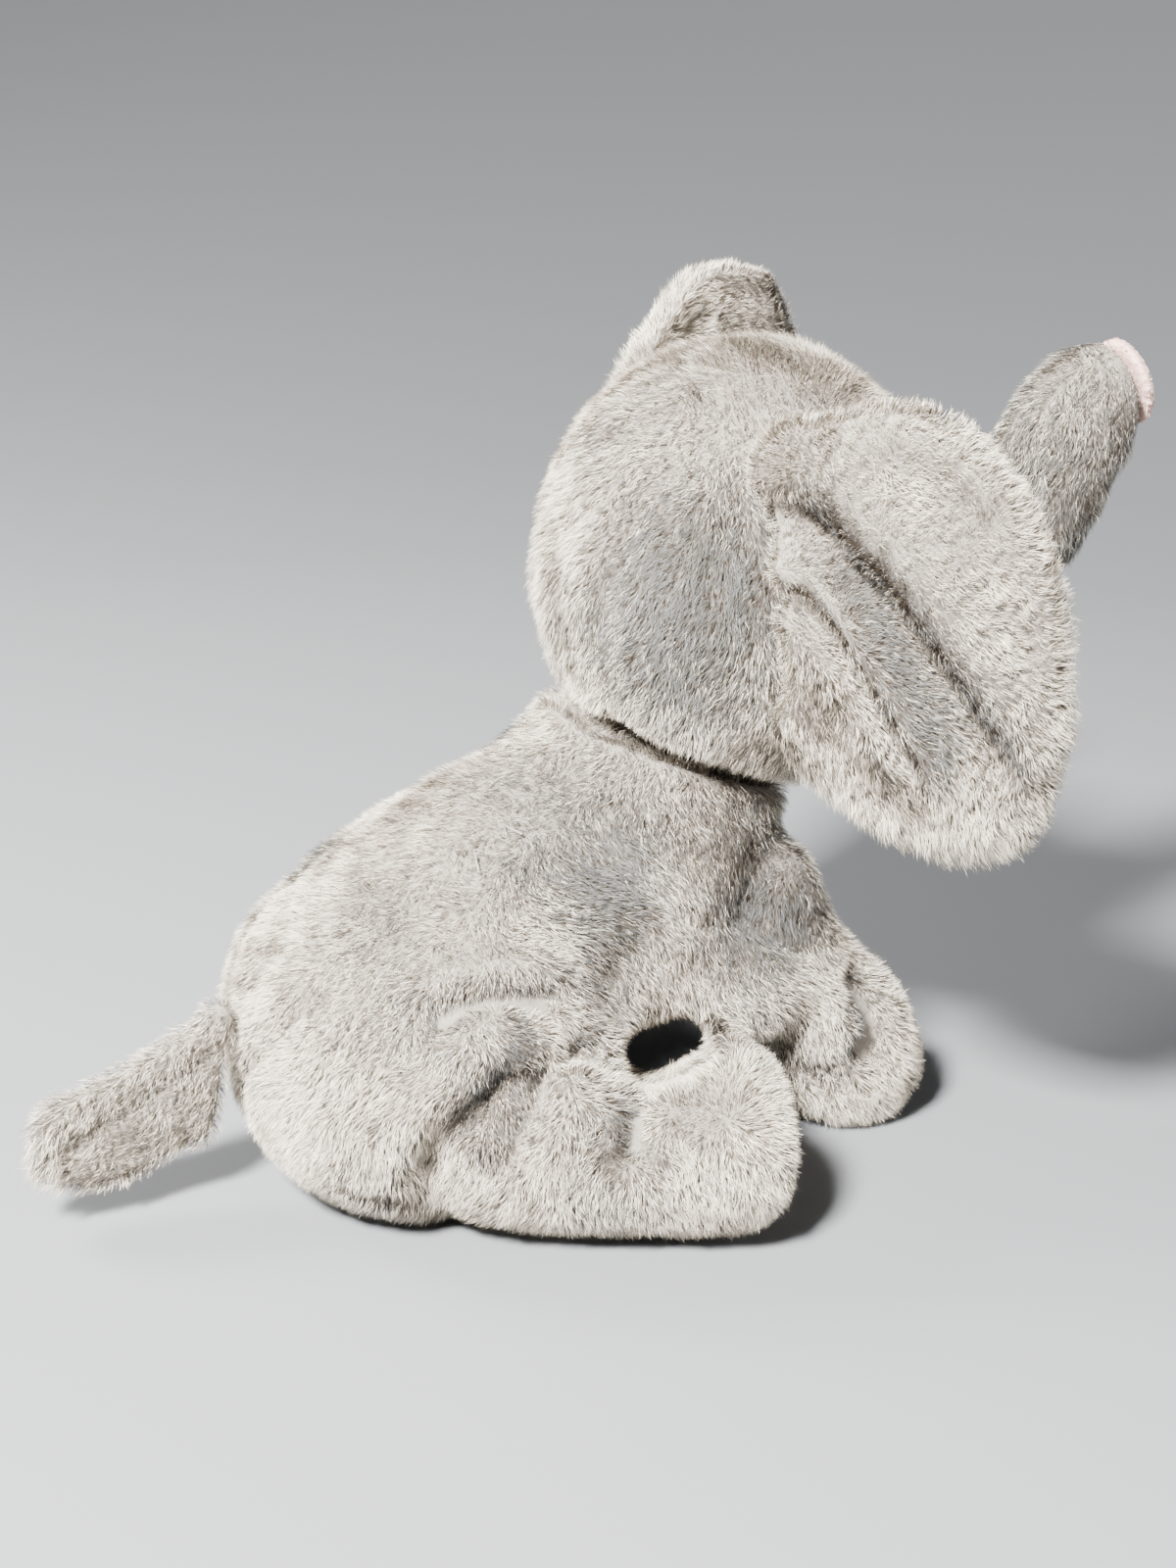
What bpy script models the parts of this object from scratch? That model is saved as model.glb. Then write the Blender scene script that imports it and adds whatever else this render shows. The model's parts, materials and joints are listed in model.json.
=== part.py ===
"""Sitting plush elephant with a raised trunk, sewn from pile-fabric panels over fibre filling.

Metres, +Z up, standing on z = 0. The elephant faces +X and its right side is -Y.
Every sewn panel, pad, eye and lump of filling is its own closed solid. The head, trunk,
ears, legs and tail hang on empties that lie on their hinge axes.
"""

import math

import bmesh
import bpy
import numpy as np
from mathutils import Matrix, Vector

# Driving dimensions.
CLOTH = 0.0030  # pile fabric: backing and the dense base of the pile
SEAM_GAP = 0.0004  # clearance between neighbouring panels along a seam
FILL_GAP = 0.0004  # clearance between the cloth and the filling
JOINT_GAP = 0.0008  # running clearance between a moving shape and what it moves past
DISH_GAP = 0.0016  # running clearance of a ball end in the dish it turns in
SEAT_X = -0.0700  # the middle of the flat seat, which becomes the origin at the end
HANDS = {"right": -1, "left": 1}  # the elephant's sides, as the sign of their y
SHARP_ANGLE = math.radians(50)  # edges sharper than this aren't shaded smooth
BALL_END_ANGLES = (20, 43, 66)  # degrees from the pole of the rings in a ball end

# Torso: (x, z) of the middle line, half-width, half-height to the back and to the belly.
TORSO = (
    ((-0.1240, 0.0400), 0.012, 0.010, 0.010),
    ((-0.1175, 0.0410), 0.042, 0.028, 0.030),
    ((-0.1020, 0.0450), 0.069, 0.046, 0.052),
    ((-0.0760, 0.0550), 0.085, 0.057, 0.070),
    ((-0.0400, 0.0720), 0.087, 0.062, 0.076),
    ((-0.0080, 0.0920), 0.077, 0.063, 0.064),
    ((0.0200, 0.1110), 0.067, 0.060, 0.058),
    ((0.0390, 0.1400), 0.056, 0.051, 0.054),
    ((0.0474, 0.1593), 0.048, 0.046, 0.046),
)
BELLY_SQUARENESS = 2.5  # 2 is round, more is squarer, in the lower half of a section
TORSO_RINGS = 15
TORSO_SIDES = 26
GUSSET_HALF_ANGLE = 28  # degrees about the middle line, measured from the back
BELLY_HALF_ANGLE = 52  # degrees, measured from the belly

# Head: an ellipsoid that narrows less than a true one towards its sides.
NECK = Vector((0.0490, 0.0, 0.1630))
NECK_AXIS = Vector((0.40, 0.0, 0.92)).normalized()
NECK_BALL = 0.0325
NECK_DROP = 0.0014  # the head's lower edge, below NECK along the axis
NECK_CUT = 0.1200  # size of the cutter under the head
HEAD_CENTRE = Vector((0.0750, 0.0, 0.2240))
HEAD_RADII = (0.0770, 0.0740, 0.0850)
HEAD_FULLNESS = 2.3  # 2 is a true ellipsoid
HEAD_RINGS = 13
HEAD_SECTORS = 24
HEAD_GUSSET_RINGS = 2  # half the strip's width, in rings
CHIN_START = 275  # degrees in the middle plane at which the gusset gives way to the chin
HEAD_ROLL = math.radians(9)  # the head leans to its right
HEAD_TURN = math.radians(-4)  # and turns a little to its right

# Trunk: (x, z) of the middle line and its radius.
TRUNK = (
    ((0.1510, 0.2130), 0.0290),
    ((0.1700, 0.2160), 0.0280),
    ((0.1890, 0.2270), 0.0265),
    ((0.2010, 0.2470), 0.0258),
    ((0.2080, 0.2670), 0.0250),
    ((0.2190, 0.2810), 0.0235),
    ((0.2300, 0.2860), 0.0205),
)
TRUNK_RINGS = 9
LIMB_SIDES = 14  # of the trunk and the legs
TRUNK_PAD_RADIUS = 0.0170
TRUNK_PAD_THICKNESS = 0.0030
TRUNK_PAD_TAPER = 0.8  # outer face's radius over the inner face's
EYE_RADIUS = 0.0065
EYE_TURN = 245  # degrees in the head's middle plane, from its underside over the back
EYE_TILT = 43  # degrees from the cheek's pole
EYE_HOLE = 0.0022
EYE_POCKET = 0.0075
WASHER_PROFILE = ((0.0021, 0.0006), (0.0062, 0.0006), (0.0062, -0.0006), (0.0021, -0.0006))
WASHER_DEPTH = 0.0050
EYE_POCKET_DEPTH = 0.0085
EYE_CUT = 0.0200  # length of the cutters past the cloth
EYE_PROFILE = (
    (0.0, 0.0056), (0.0030, 0.0051), (0.0053, 0.0036), (EYE_RADIUS, 0.0012),
    (EYE_RADIUS - 0.0005, 0.0004), (0.0015, 0.0004), (0.0015, -0.0070), (0.0, -0.0070),
)

# Ears: the left root line on the head's side, and the outline as (out, along the root).
EAR_ROOT_TOP = Vector((0.0560, 0.0800, 0.2760))
EAR_ROOT_BOTTOM = Vector((0.0740, 0.0840, 0.1760))
EAR_OUTLINE = (
    (-0.006, -0.054), (0.018, -0.073), (0.046, -0.081), (0.070, -0.069), (0.085, -0.038),
    (0.089, 0.000), (0.082, 0.037), (0.066, 0.065), (0.043, 0.078), (0.014, 0.074),
    (-0.006, 0.056), (0.002, 0.028), (0.004, 0.000), (0.002, -0.026),
)
EAR_CLOTH = 0.0034
EAR_FILLING = 0.0026
EAR_FILLING_SHARE = 0.93  # of the cloth's outline
EAR_MOVE = {"right": (0.0, 0.009), "left": (0.006, 0.0)}  # root forward and up
EAR_SWEEP = {"right": math.radians(38), "left": math.radians(66)}  # forward of straight out

# Legs: middle line, half-width across the body and half-height.
FRONT_LEG = (
    ((0.0720, 0.0340, 0.1000), 0.0260, 0.0270),
    ((0.0800, 0.0350, 0.0760), 0.0260, 0.0270),
    ((0.0960, 0.0360, 0.0500), 0.0270, 0.0290),
    ((0.1120, 0.0360, 0.0300), 0.0285, 0.0320),
    ((0.1170, 0.0350, 0.0140), 0.0280, 0.0310),
    ((0.1185, 0.0350, 0.0052), 0.0230, 0.0250),
)
HIND_LEG = (
    ((-0.0470, 0.0640, 0.0400), 0.0340, 0.0370),
    ((-0.0200, 0.0750, 0.0385), 0.0360, 0.0375),
    ((0.0050, 0.0850, 0.0365), 0.0370, 0.0360),
    ((0.0240, 0.0910, 0.0365), 0.0385, 0.0370),
    ((0.0370, 0.0930, 0.0365), 0.0370, 0.0365),
    ((0.0445, 0.0935, 0.0365), 0.0300, 0.0310),
)
LEG_RINGS = 8
SOLE_THICKNESS = 0.0030
SOLE_INSET = 0.0010  # the sole's radius is this much less than the foot's
FRONT_LEG_ROOM = (0,)  # degrees raised forward, at which the leg's own shape is cut away
HIND_LEG_ROOM = (0, 5, 10, 15)  # degrees spread outward

# Tail: a flat upright flap, its outline as (x, z), and its hinge at the root.
TAIL_TOP = ((-0.1265, 0.0765), (-0.1420, 0.0685), (-0.1650, 0.0575), (-0.1850, 0.0505),
            (-0.1950, 0.0440))
TAIL_BOTTOM = ((-0.1915, 0.0200), (-0.1680, 0.0180), (-0.1490, 0.0250), (-0.1390, 0.0370),
               (-0.1345, 0.0490), (-0.1310, 0.0630))
TAIL_CLOTH = 0.0034
TAIL_HINGE = Vector((-0.1300, 0.0, 0.0630))  # on the root line, which leans forward

# Seat pouch with beans, lying on the belly panel inside the filling.
POUCH_MIDDLE = Vector((-0.0850, 0.0, 0.0236))
POUCH_RADII = (0.026, 0.034, 0.0200)
POUCH_GAP = 0.0005

# Thread that closes the stuffing opening in the right back seam.
STITCH_START = 0.60  # share of the torso's length
STITCH_END = 0.69
STITCH_COUNT = 7
STITCH_HALF_WIDTH = 3.5  # degrees each side of the seam
STITCH_LIFT = 0.0011
THREAD_RADIUS = 0.0004

# Colours: base colour, roughness, metallic.
FUR = ((0.55, 0.53, 0.49), 0.9, 0.0)
LINING = ((0.62, 0.50, 0.47), 0.9, 0.0)
PINK = ((0.86, 0.62, 0.56), 0.85, 0.0)
SOLE = ((0.50, 0.48, 0.45), 0.9, 0.0)
FIBRE = ((0.90, 0.90, 0.88), 1.0, 0.0)
BEANS = ((0.75, 0.76, 0.78), 0.6, 0.0)
EYE = ((0.02, 0.015, 0.01), 0.15, 0.0)
WASHER = ((0.85, 0.85, 0.82), 0.5, 0.0)
THREAD = ((0.45, 0.43, 0.40), 0.7, 0.0)


def clear_scene():
    for obj in list(bpy.data.objects):
        bpy.data.objects.remove(obj, do_unlink=True)


def new_collection(name):
    collection = bpy.data.collections.new(name)
    bpy.context.scene.collection.children.link(collection)
    return collection


def material(name, look):
    colour, roughness, metallic = look
    made = bpy.data.materials.new(name)
    made.use_nodes = True
    shader = made.node_tree.nodes["Principled BSDF"]
    shader.inputs["Base Color"].default_value = (*colour, 1.0)
    shader.inputs["Roughness"].default_value = roughness
    shader.inputs["Metallic"].default_value = metallic
    return made


# Curves and forms.


def smooth_points(points, count):
    """A Catmull-Rom curve through points, read at count even steps."""
    points = np.asarray(points, float)
    first = 2 * points[0] - points[1]
    last = 2 * points[-1] - points[-2]
    padded = np.vstack([first, points, last])
    made = []
    for step in np.linspace(0, len(points) - 1, count):
        i = min(int(step), len(points) - 2)
        t = step - i
        p0, p1, p2, p3 = padded[i : i + 4]
        made.append(
            0.5 * (2 * p1 + (p2 - p0) * t + (2 * p0 - 5 * p1 + 4 * p2 - p3) * t**2
                   + (3 * p1 - p0 - 3 * p2 + p3) * t**3)
        )
    return np.array(made)


class Form:
    """A closed surface whose faces are grouped into panels."""

    def __init__(self):
        self.points = []
        self.faces = []
        self.panels = []

    def add_face(self, face, panel):
        """Adds a triangle, or a quad as two, so that surfaces at any depth nest exactly."""
        for k in range(1, len(face) - 1):
            self.faces.append((face[0], face[k], face[k + 1]))
            self.panels.append(panel)

    def finish(self):
        self.points = np.array(self.points, float)
        return self

    def normals(self):
        """The smooth outward normal of each point."""
        total = np.zeros_like(self.points)
        for face in self.faces:
            corners = self.points[list(face)]
            middle = corners.mean(axis=0)
            for k, index in enumerate(face):
                after = corners[(k + 1) % len(face)]
                before = corners[k - 1]
                total[index] += np.cross(after - corners[k], before - corners[k])
                total[index] += 0.25 * np.cross(after - middle, before - middle)
        return total / np.maximum(np.linalg.norm(total, axis=1), 1e-12)[:, None]


def round_start(middles, columns):
    """Puts rings of a half ball before the first ring, so that a tube begins as a ball end."""
    along = middles[1] - middles[0]
    along /= np.linalg.norm(along)
    radius = columns[0][0]
    angles = [math.radians(degrees) for degrees in BALL_END_ANGLES]
    cap = [middles[0] - along * radius * math.cos(angle) for angle in angles]
    grown = [np.concatenate([[column[0] * math.sin(angle) for angle in angles], column])
             for column in columns]
    return np.vstack([cap, middles]), grown


def ring_frames(middles, side):
    """For each middle point, the direction along the line and the direction called up."""
    along = np.gradient(middles, axis=0)
    along /= np.linalg.norm(along, axis=1)[:, None]
    side = np.asarray(side, float)
    up = np.cross(side, along)
    up /= np.linalg.norm(up, axis=1)[:, None]
    return along, up


def tube_form(middles, widths, ups, downs, sides, panel_of, side=(0, -1, 0), floor=None,
              squareness=2.0, close_start=True, close_end=True):
    """Rings around a middle line. panel_of(angle) names the panel at an angle from up.

    Angles grow from up (0 degrees) towards side (90), down (180) and back.
    """
    form = Form()
    _, up = ring_frames(middles, side)
    across = np.asarray(side, float)
    for middle, width, high, low, rise in zip(middles, widths, ups, downs, up):
        for k in range(sides):
            angle = 2 * math.pi * k / sides
            power = 2 / squareness if math.cos(angle) < 0 else 1
            aside = math.copysign(abs(math.sin(angle)) ** power, math.sin(angle))
            height = math.copysign(abs(math.cos(angle)) ** power, math.cos(angle))
            height *= high if height > 0 else low
            point = middle + across * width * aside + rise * height
            if floor is not None:
                point[2] = max(point[2], floor)
            form.points.append(point)
    for i in range(len(middles) - 1):
        for k in range(sides):
            after = (k + 1) % sides
            face = (i * sides + k, i * sides + after,
                    (i + 1) * sides + after, (i + 1) * sides + k)
            form.add_face(face, panel_of(360 * (k + 0.5) / sides))
    ends = ((close_start, 0, -1), (close_end, len(middles) - 1, 1))
    for closed, i, direction in ends:
        if not closed:
            continue
        pole = len(form.points)
        ring = [form.points[i * sides + k] for k in range(sides)]
        form.points.append(np.mean(ring, axis=0))
        for k in range(sides):
            after = (k + 1) % sides
            face = (i * sides + k, i * sides + after, pole)
            form.add_face(face if direction > 0 else face[::-1],
                          panel_of(360 * (k + 0.5) / sides))
    return form.finish()


def head_form(rings, sectors):
    """An ellipsoid-like form with its poles at the two cheeks.

    Sector angles run in the XZ plane from the neck's side (down) over the back to the crown.
    """
    form = Form()
    rx, ry, rz = HEAD_RADII
    for i in range(rings):
        tilt = math.pi * (i + 1) / (rings + 1)
        out = math.sin(tilt) ** (2 / HEAD_FULLNESS)
        aside = math.copysign(abs(math.cos(tilt)) ** (2 / HEAD_FULLNESS), math.cos(tilt))
        for k in range(sectors):
            angle = 2 * math.pi * k / sectors
            form.points.append(HEAD_CENTRE + Vector((
                -rx * out * math.sin(angle), ry * aside, -rz * out * math.cos(angle))))
    middle = (rings - 1) // 2
    for i in range(rings - 1):
        for k in range(sectors):
            after = (k + 1) % sectors
            face = (i * sectors + k, i * sectors + after,
                    (i + 1) * sectors + after, (i + 1) * sectors + k)
            angle = 360 * (k + 0.5) / sectors
            in_strip = abs(i + 0.5 - middle) < HEAD_GUSSET_RINGS
            if not in_strip:
                panel = "left" if i < middle else "right"
            else:
                panel = "chin" if angle > CHIN_START else "gusset"
            form.add_face(face[::-1], panel)
    for i, cheek, panel in ((0, 1, "left"), (rings - 1, -1, "right")):
        pole = len(form.points)
        form.points.append(HEAD_CENTRE + Vector((0, cheek * ry, 0)))
        for k in range(sectors):
            after = (k + 1) % sectors
            face = (i * sectors + k, i * sectors + after, pole)
            form.add_face(face if cheek > 0 else face[::-1], panel)
    return form.finish()


# Solids.


def add_object(name, points, faces, look, collection):
    mesh = bpy.data.meshes.new(name)
    mesh.from_pydata([tuple(p) for p in points], [], [tuple(f) for f in faces])
    if look is not None:
        mesh.materials.append(look)
    mesh.shade_smooth()
    mesh.set_sharp_from_angle(angle=SHARP_ANGLE)
    obj = bpy.data.objects.new(name, mesh)
    collection.objects.link(obj)
    return obj


def cloth_panel(name, form, panel, look, collection, thickness=CLOTH):
    """The faces of one panel as a sheet with thickness, inward from the form's surface.

    Its edge points stand back along the surface, so that neighbours keep a seam gap.
    """
    normals = form.normals()
    faces = [f for f, p in zip(form.faces, form.panels) if p == panel]
    uses = {}
    inward = {}
    for face in faces:
        middle = form.points[list(face)].mean(axis=0)
        for k, index in enumerate(face):
            edge = (index, face[(k + 1) % len(face)])
            uses[edge] = uses.get(edge, 0) + 1
            inward.setdefault(index, []).append(middle - form.points[index])
    border = [edge for edge in uses if (edge[1], edge[0]) not in uses]
    border_points = {index for edge in border for index in edge}
    order = {index: n for n, index in enumerate(sorted(inward))}
    outer = np.array([form.points[index] for index in order])
    across = np.array([normals[index] for index in order])
    for index in border_points:
        n = order[index]
        pull = np.mean(inward[index], axis=0)
        pull -= across[n] * (pull @ across[n])
        outer[n] += pull / np.linalg.norm(pull) * SEAM_GAP
    inner = outer - across * thickness
    count = len(order)
    solid = [[order[i] for i in face] for face in faces]
    solid += [[order[i] + count for i in reversed(face)] for face in faces]
    for a, b in border:
        solid.append([order[b], order[a], order[a] + count, order[b] + count])
    return add_object(name, np.vstack([outer, inner]), solid, look, collection)


def room_cutters(name, form, centre, radius, axis, angles, collection):
    """A ball round centre, and copies of a closed form turned about an axis through centre."""
    made = [ball(f"{name}_dish", centre, radius + DISH_GAP, collection)]
    grown = form.points + form.normals() * JOINT_GAP
    for number, degrees in enumerate(angles):
        turn = Matrix.Rotation(math.radians(degrees), 3, Vector(axis))
        points = [centre + turn @ (Vector(point) - centre) for point in grown]
        made.append(add_object(f"{name}_room_{number}", points, form.faces, None, collection))
    return made


def inner_solid(name, form, depth, look, collection, normals=None):
    """The whole form as one solid, its surface moved inward by depth.

    A tube's flat end stays in its plane if normals are those of the same tube with no end.
    """
    if normals is None:
        normals = form.normals()
    unmoved = np.zeros((len(form.points) - len(normals), 3))
    points = form.points - np.vstack([normals, unmoved]) * depth
    return add_object(name, points, form.faces, look, collection)


def ball(name, centre, radius, collection, segments=20, rings=11):
    mesh = bpy.data.meshes.new(name)
    shape = bmesh.new()
    bmesh.ops.create_uvsphere(shape, u_segments=segments, v_segments=rings, radius=radius)
    bmesh.ops.translate(shape, verts=shape.verts, vec=centre)
    shape.to_mesh(mesh)
    shape.free()
    obj = bpy.data.objects.new(name, mesh)
    collection.objects.link(obj)
    return obj


def cylinder(name, centre, axis, radius, depth, collection, top_radius=None, segments=28):
    mesh = bpy.data.meshes.new(name)
    shape = bmesh.new()
    bmesh.ops.create_cone(
        shape, cap_ends=True, segments=segments, radius1=radius,
        radius2=radius if top_radius is None else top_radius, depth=depth)
    turn = Vector((0, 0, 1)).rotation_difference(axis).to_matrix()
    bmesh.ops.rotate(shape, verts=shape.verts, matrix=turn)
    bmesh.ops.translate(shape, verts=shape.verts, vec=centre)
    shape.to_mesh(mesh)
    shape.free()
    obj = bpy.data.objects.new(name, mesh)
    collection.objects.link(obj)
    return obj


def turned(name, profile, look, collection, closed=False, steps=20):
    """A turned solid from (radius, height) points, its axis on local Z."""
    mesh = bpy.data.meshes.new(name)
    points = [(radius, 0.0, height) for radius, height in profile]
    count = len(points)
    edges = [(k, (k + 1) % count) for k in range(count if closed else count - 1)]
    mesh.from_pydata(points, edges, [])
    mesh.materials.append(look)
    obj = bpy.data.objects.new(name, mesh)
    collection.objects.link(obj)
    screw = obj.modifiers.new("Turn", "SCREW")
    screw.steps = screw.render_steps = steps
    screw.use_merge_vertices = True
    screw.merge_threshold = 0.00001
    screw.use_smooth_shade = True
    return obj


def stand_on(obj, place, axis):
    """Puts obj's origin at place with its local Z along axis."""
    obj.matrix_world = Matrix.Translation(place) @ (
        Vector((0, 0, 1)).rotation_difference(axis).to_matrix().to_4x4())


def flat_layer(name, outline, thickness, look, collection):
    """A flat plate on its local XY plane, from an outline of (x, y) points."""
    curve = bpy.data.curves.new(name, "CURVE")
    curve.dimensions = "2D"
    curve.fill_mode = "BOTH"
    curve.extrude = thickness / 2
    curve.resolution_u = 3
    spline = curve.splines.new("BEZIER")
    spline.bezier_points.add(len(outline) - 1)
    for point, (x, y) in zip(spline.bezier_points, outline):
        point.co = (x, y, 0)
        point.handle_left_type = point.handle_right_type = "AUTO"
    spline.use_cyclic_u = True
    curve.materials.append(look)
    obj = bpy.data.objects.new(name, curve)
    collection.objects.link(obj)
    return obj


def boolean(obj, other, operation="DIFFERENCE", solver="EXACT"):
    modifier = obj.modifiers.new(f"{operation.title()} {other.name}", "BOOLEAN")
    modifier.operation = operation
    modifier.object = other
    modifier.solver = solver
    return modifier


def as_cutter(obj, collection):
    for used in list(obj.users_collection):
        used.objects.unlink(obj)
    collection.objects.link(obj)
    obj.hide_render = True
    obj.display_type = "WIRE"
    return obj


def pivot(name, place, collection, parent=None):
    """An empty on a joint's axis."""
    empty = bpy.data.objects.new(name, None)
    empty.empty_display_size = 0.02
    empty.location = place
    collection.objects.link(empty)
    if parent is not None:
        hang(empty, parent)
    return empty


def hang(obj, parent):
    """Parents obj without moving it. Only used while every parent is unrotated."""
    obj.parent = parent
    obj.matrix_parent_inverse = Matrix.Translation(-parent.location)


# The elephant.


def read_line(stations, count):
    """Middle points in 3-D and the smooth values of every other column."""
    middles = [s[0] if len(s[0]) == 3 else (s[0][0], 0.0, s[0][1]) for s in stations]
    columns = [smooth_points([[s[c]] for s in stations], count)[:, 0]
               for c in range(1, len(stations[0]))]
    return smooth_points(middles, count), columns


def torso_panel(angle):
    from_back = min(angle, 360 - angle)
    if from_back < GUSSET_HALF_ANGLE:
        return "gusset"
    if from_back > 180 - BELLY_HALF_ANGLE:
        return "belly"
    return "right" if angle < 180 else "left"


def make_torso(looks, parts, cutters):
    middles, (width, high, low) = read_line(TORSO, TORSO_RINGS)
    form = tube_form(middles, width, high, low, TORSO_SIDES, torso_panel, floor=0.0,
                     squareness=BELLY_SQUARENESS, close_end=False)
    nodes = {panel: cloth_panel(name, form, panel, looks["fur"], parts) for panel, name in (
        ("gusset", "back_gusset"), ("belly", "belly_panel"),
        ("right", "body_side_right"), ("left", "body_side_left"))}
    closed = tube_form(middles, width, high, low, TORSO_SIDES, torso_panel, floor=0.0,
                       squareness=BELLY_SQUARENESS)
    filling = inner_solid("body_filling", closed, CLOTH + FILL_GAP, looks["fibre"], parts,
                          form.normals())
    boolean(filling, as_cutter(ball("neck_ball", NECK, NECK_BALL, parts), cutters), "UNION")
    pouch_room = ball("pouch_room", (0, 0, 0), 1.0, cutters, segments=24, rings=12)
    pouch_room.location = POUCH_MIDDLE
    pouch_room.scale = [radius + POUCH_GAP for radius in POUCH_RADII]
    boolean(filling, as_cutter(pouch_room, cutters))
    pouch = ball("bean_pouch", (0, 0, 0), 1.0, parts, segments=20, rings=10)
    pouch.location = POUCH_MIDDLE
    pouch.scale = POUCH_RADII
    pouch.data.materials.append(looks["beans"])
    pouch.data.shade_smooth()
    make_closing_stitch(middles, (width, high, low), looks, parts)
    nodes["filling"] = filling
    return nodes


def make_closing_stitch(middles, sizes, looks, parts):
    """A thread that zigzags across the right back seam, just above the cloth."""
    width, high, _ = sizes
    _, up = ring_frames(middles, (0, -1, 0))
    places = []
    for k in range(STITCH_COUNT):
        share = STITCH_START + (STITCH_END - STITCH_START) * k / (STITCH_COUNT - 1)
        degrees = GUSSET_HALF_ANGLE + STITCH_HALF_WIDTH * (-1 if k % 2 else 1)
        i = int(share * (len(middles) - 1))
        t = share * (len(middles) - 1) - i
        angle = math.radians(degrees)
        middle = middles[i] * (1 - t) + middles[i + 1] * t
        rise = up[i] * (1 - t) + up[i + 1] * t
        aside = (width[i] * (1 - t) + width[i + 1] * t + STITCH_LIFT) * math.sin(angle)
        height = (high[i] * (1 - t) + high[i + 1] * t + STITCH_LIFT) * math.cos(angle)
        places.append(middle + np.array((0, -1, 0)) * aside + rise * height)
    curve = bpy.data.curves.new("closing_stitch", "CURVE")
    curve.dimensions = "3D"
    curve.bevel_depth = THREAD_RADIUS
    curve.bevel_resolution = 1
    curve.use_fill_caps = True
    spline = curve.splines.new("POLY")
    spline.points.add(len(places) - 1)
    for point, place in zip(spline.points, places):
        point.co = (*place, 1)
    curve.materials.append(looks["thread"])
    obj = bpy.data.objects.new("closing_stitch", curve)
    parts.objects.link(obj)


def head_place(turn, tilt, hand):
    """A point of the head's surface. turn runs over the back in the middle plane."""
    rx, ry, rz = HEAD_RADII
    out = math.sin(tilt) ** (2 / HEAD_FULLNESS)
    aside = math.cos(tilt) ** (2 / HEAD_FULLNESS)
    return HEAD_CENTRE + Vector(
        (-rx * out * math.sin(turn), hand * ry * aside, -rz * out * math.cos(turn)))


def make_head(looks, parts, cutters, head_pivot):
    form = head_form(HEAD_RINGS, HEAD_SECTORS)
    nodes = {}
    for panel, name in (("gusset", "head_gusset"), ("chin", "chin_panel"),
                        ("right", "head_side_right"), ("left", "head_side_left")):
        nodes[panel] = cloth_panel(name, form, panel, looks["fur"], parts)
    nodes["filling"] = inner_solid(
        "head_filling", form, CLOTH + FILL_GAP, looks["fibre"], parts)
    below = as_cutter(cylinder("neck_plane", NECK - NECK_AXIS * (NECK_DROP + NECK_CUT / 2),
                               NECK_AXIS, NECK_CUT, NECK_CUT, parts), cutters)
    for node in nodes.values():
        boolean(node, below)
    boolean(nodes["filling"],
            as_cutter(ball("neck_room", NECK, NECK_BALL + JOINT_GAP, parts), cutters))
    for side, hand in HANDS.items():
        made = make_eye(side, hand, nodes[side], nodes["filling"], looks, parts, cutters)
        for obj in made:
            hang(obj, head_pivot)
    for node in nodes.values():
        hang(node, head_pivot)
    return nodes


def make_eye(side, hand, cloth, filling, looks, parts, cutters):
    """A domed eye whose shank runs through the cloth into a lock washer in the filling."""
    turn, tilt = math.radians(EYE_TURN), math.radians(EYE_TILT)
    place = head_place(turn, tilt, hand)
    small_turn = 0.01
    along_turn = head_place(turn + small_turn, tilt, hand) - place
    along_tilt = head_place(turn, tilt + small_turn, hand) - place
    out = along_turn.cross(along_tilt).normalized()
    if out.dot(place - HEAD_CENTRE) < 0:
        out.negate()
    eye = turned(f"eye_{side}", EYE_PROFILE, looks["eye"], parts)
    washer = turned(f"eye_washer_{side}", WASHER_PROFILE, looks["washer"], parts, closed=True)
    stand_on(eye, place, out)
    stand_on(washer, place - out * WASHER_DEPTH, out)
    hole = cylinder(f"eye_hole_{side}", place, out, EYE_HOLE, EYE_CUT, parts)
    pocket = cylinder(f"eye_pocket_{side}", place - out * (EYE_POCKET_DEPTH - EYE_CUT) / 2, out,
                      EYE_POCKET, EYE_POCKET_DEPTH + EYE_CUT, parts)
    boolean(cloth, as_cutter(hole, cutters))
    boolean(filling, as_cutter(pocket, cutters))
    return [eye, washer, hole, pocket]


def make_ear(side, hand, looks, parts, head_pivot):
    """Three flat layers: the back cloth, a thin filling and the lining, hinged at the root."""
    forward, up = EAR_MOVE[side]
    top, bottom = (Vector((end.x + forward, hand * end.y, end.z + up))
                   for end in (EAR_ROOT_TOP, EAR_ROOT_BOTTOM))
    root = (top - bottom).normalized()
    sweep = EAR_SWEEP[side]
    out = Vector((math.sin(sweep), hand * math.cos(sweep), 0))
    out = (out - root * out.dot(root)).normalized()
    hinge = pivot(f"ear_{side}_hinge", (top + bottom) / 2, parts, head_pivot)
    back = out.cross(root) * -hand
    step = (EAR_FILLING + EAR_CLOTH) / 2 + FILL_GAP
    layers = (("back_panel", step, EAR_CLOTH, 1.0, "fur"),
              ("filling", 0.0, EAR_FILLING, EAR_FILLING_SHARE, "fibre"),
              ("lining", -step, EAR_CLOTH, 1.0, "lining"))
    middle = max(x for x, _ in EAR_OUTLINE) / 2
    for layer, offset, thickness, share, look in layers:
        outline = [(middle + (x - middle) * share, y * share) for x, y in EAR_OUTLINE]
        ear = flat_layer(f"ear_{side}_{layer}", outline, thickness, looks[look], parts)
        frame = Matrix((out, root, out.cross(root))).transposed().to_4x4()
        frame.translation = back * offset
        ear.parent = hinge
        ear.matrix_local = frame


def trunk_panel(angle):
    return "top" if min(angle, 360 - angle) < 90 else "under"


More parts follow.
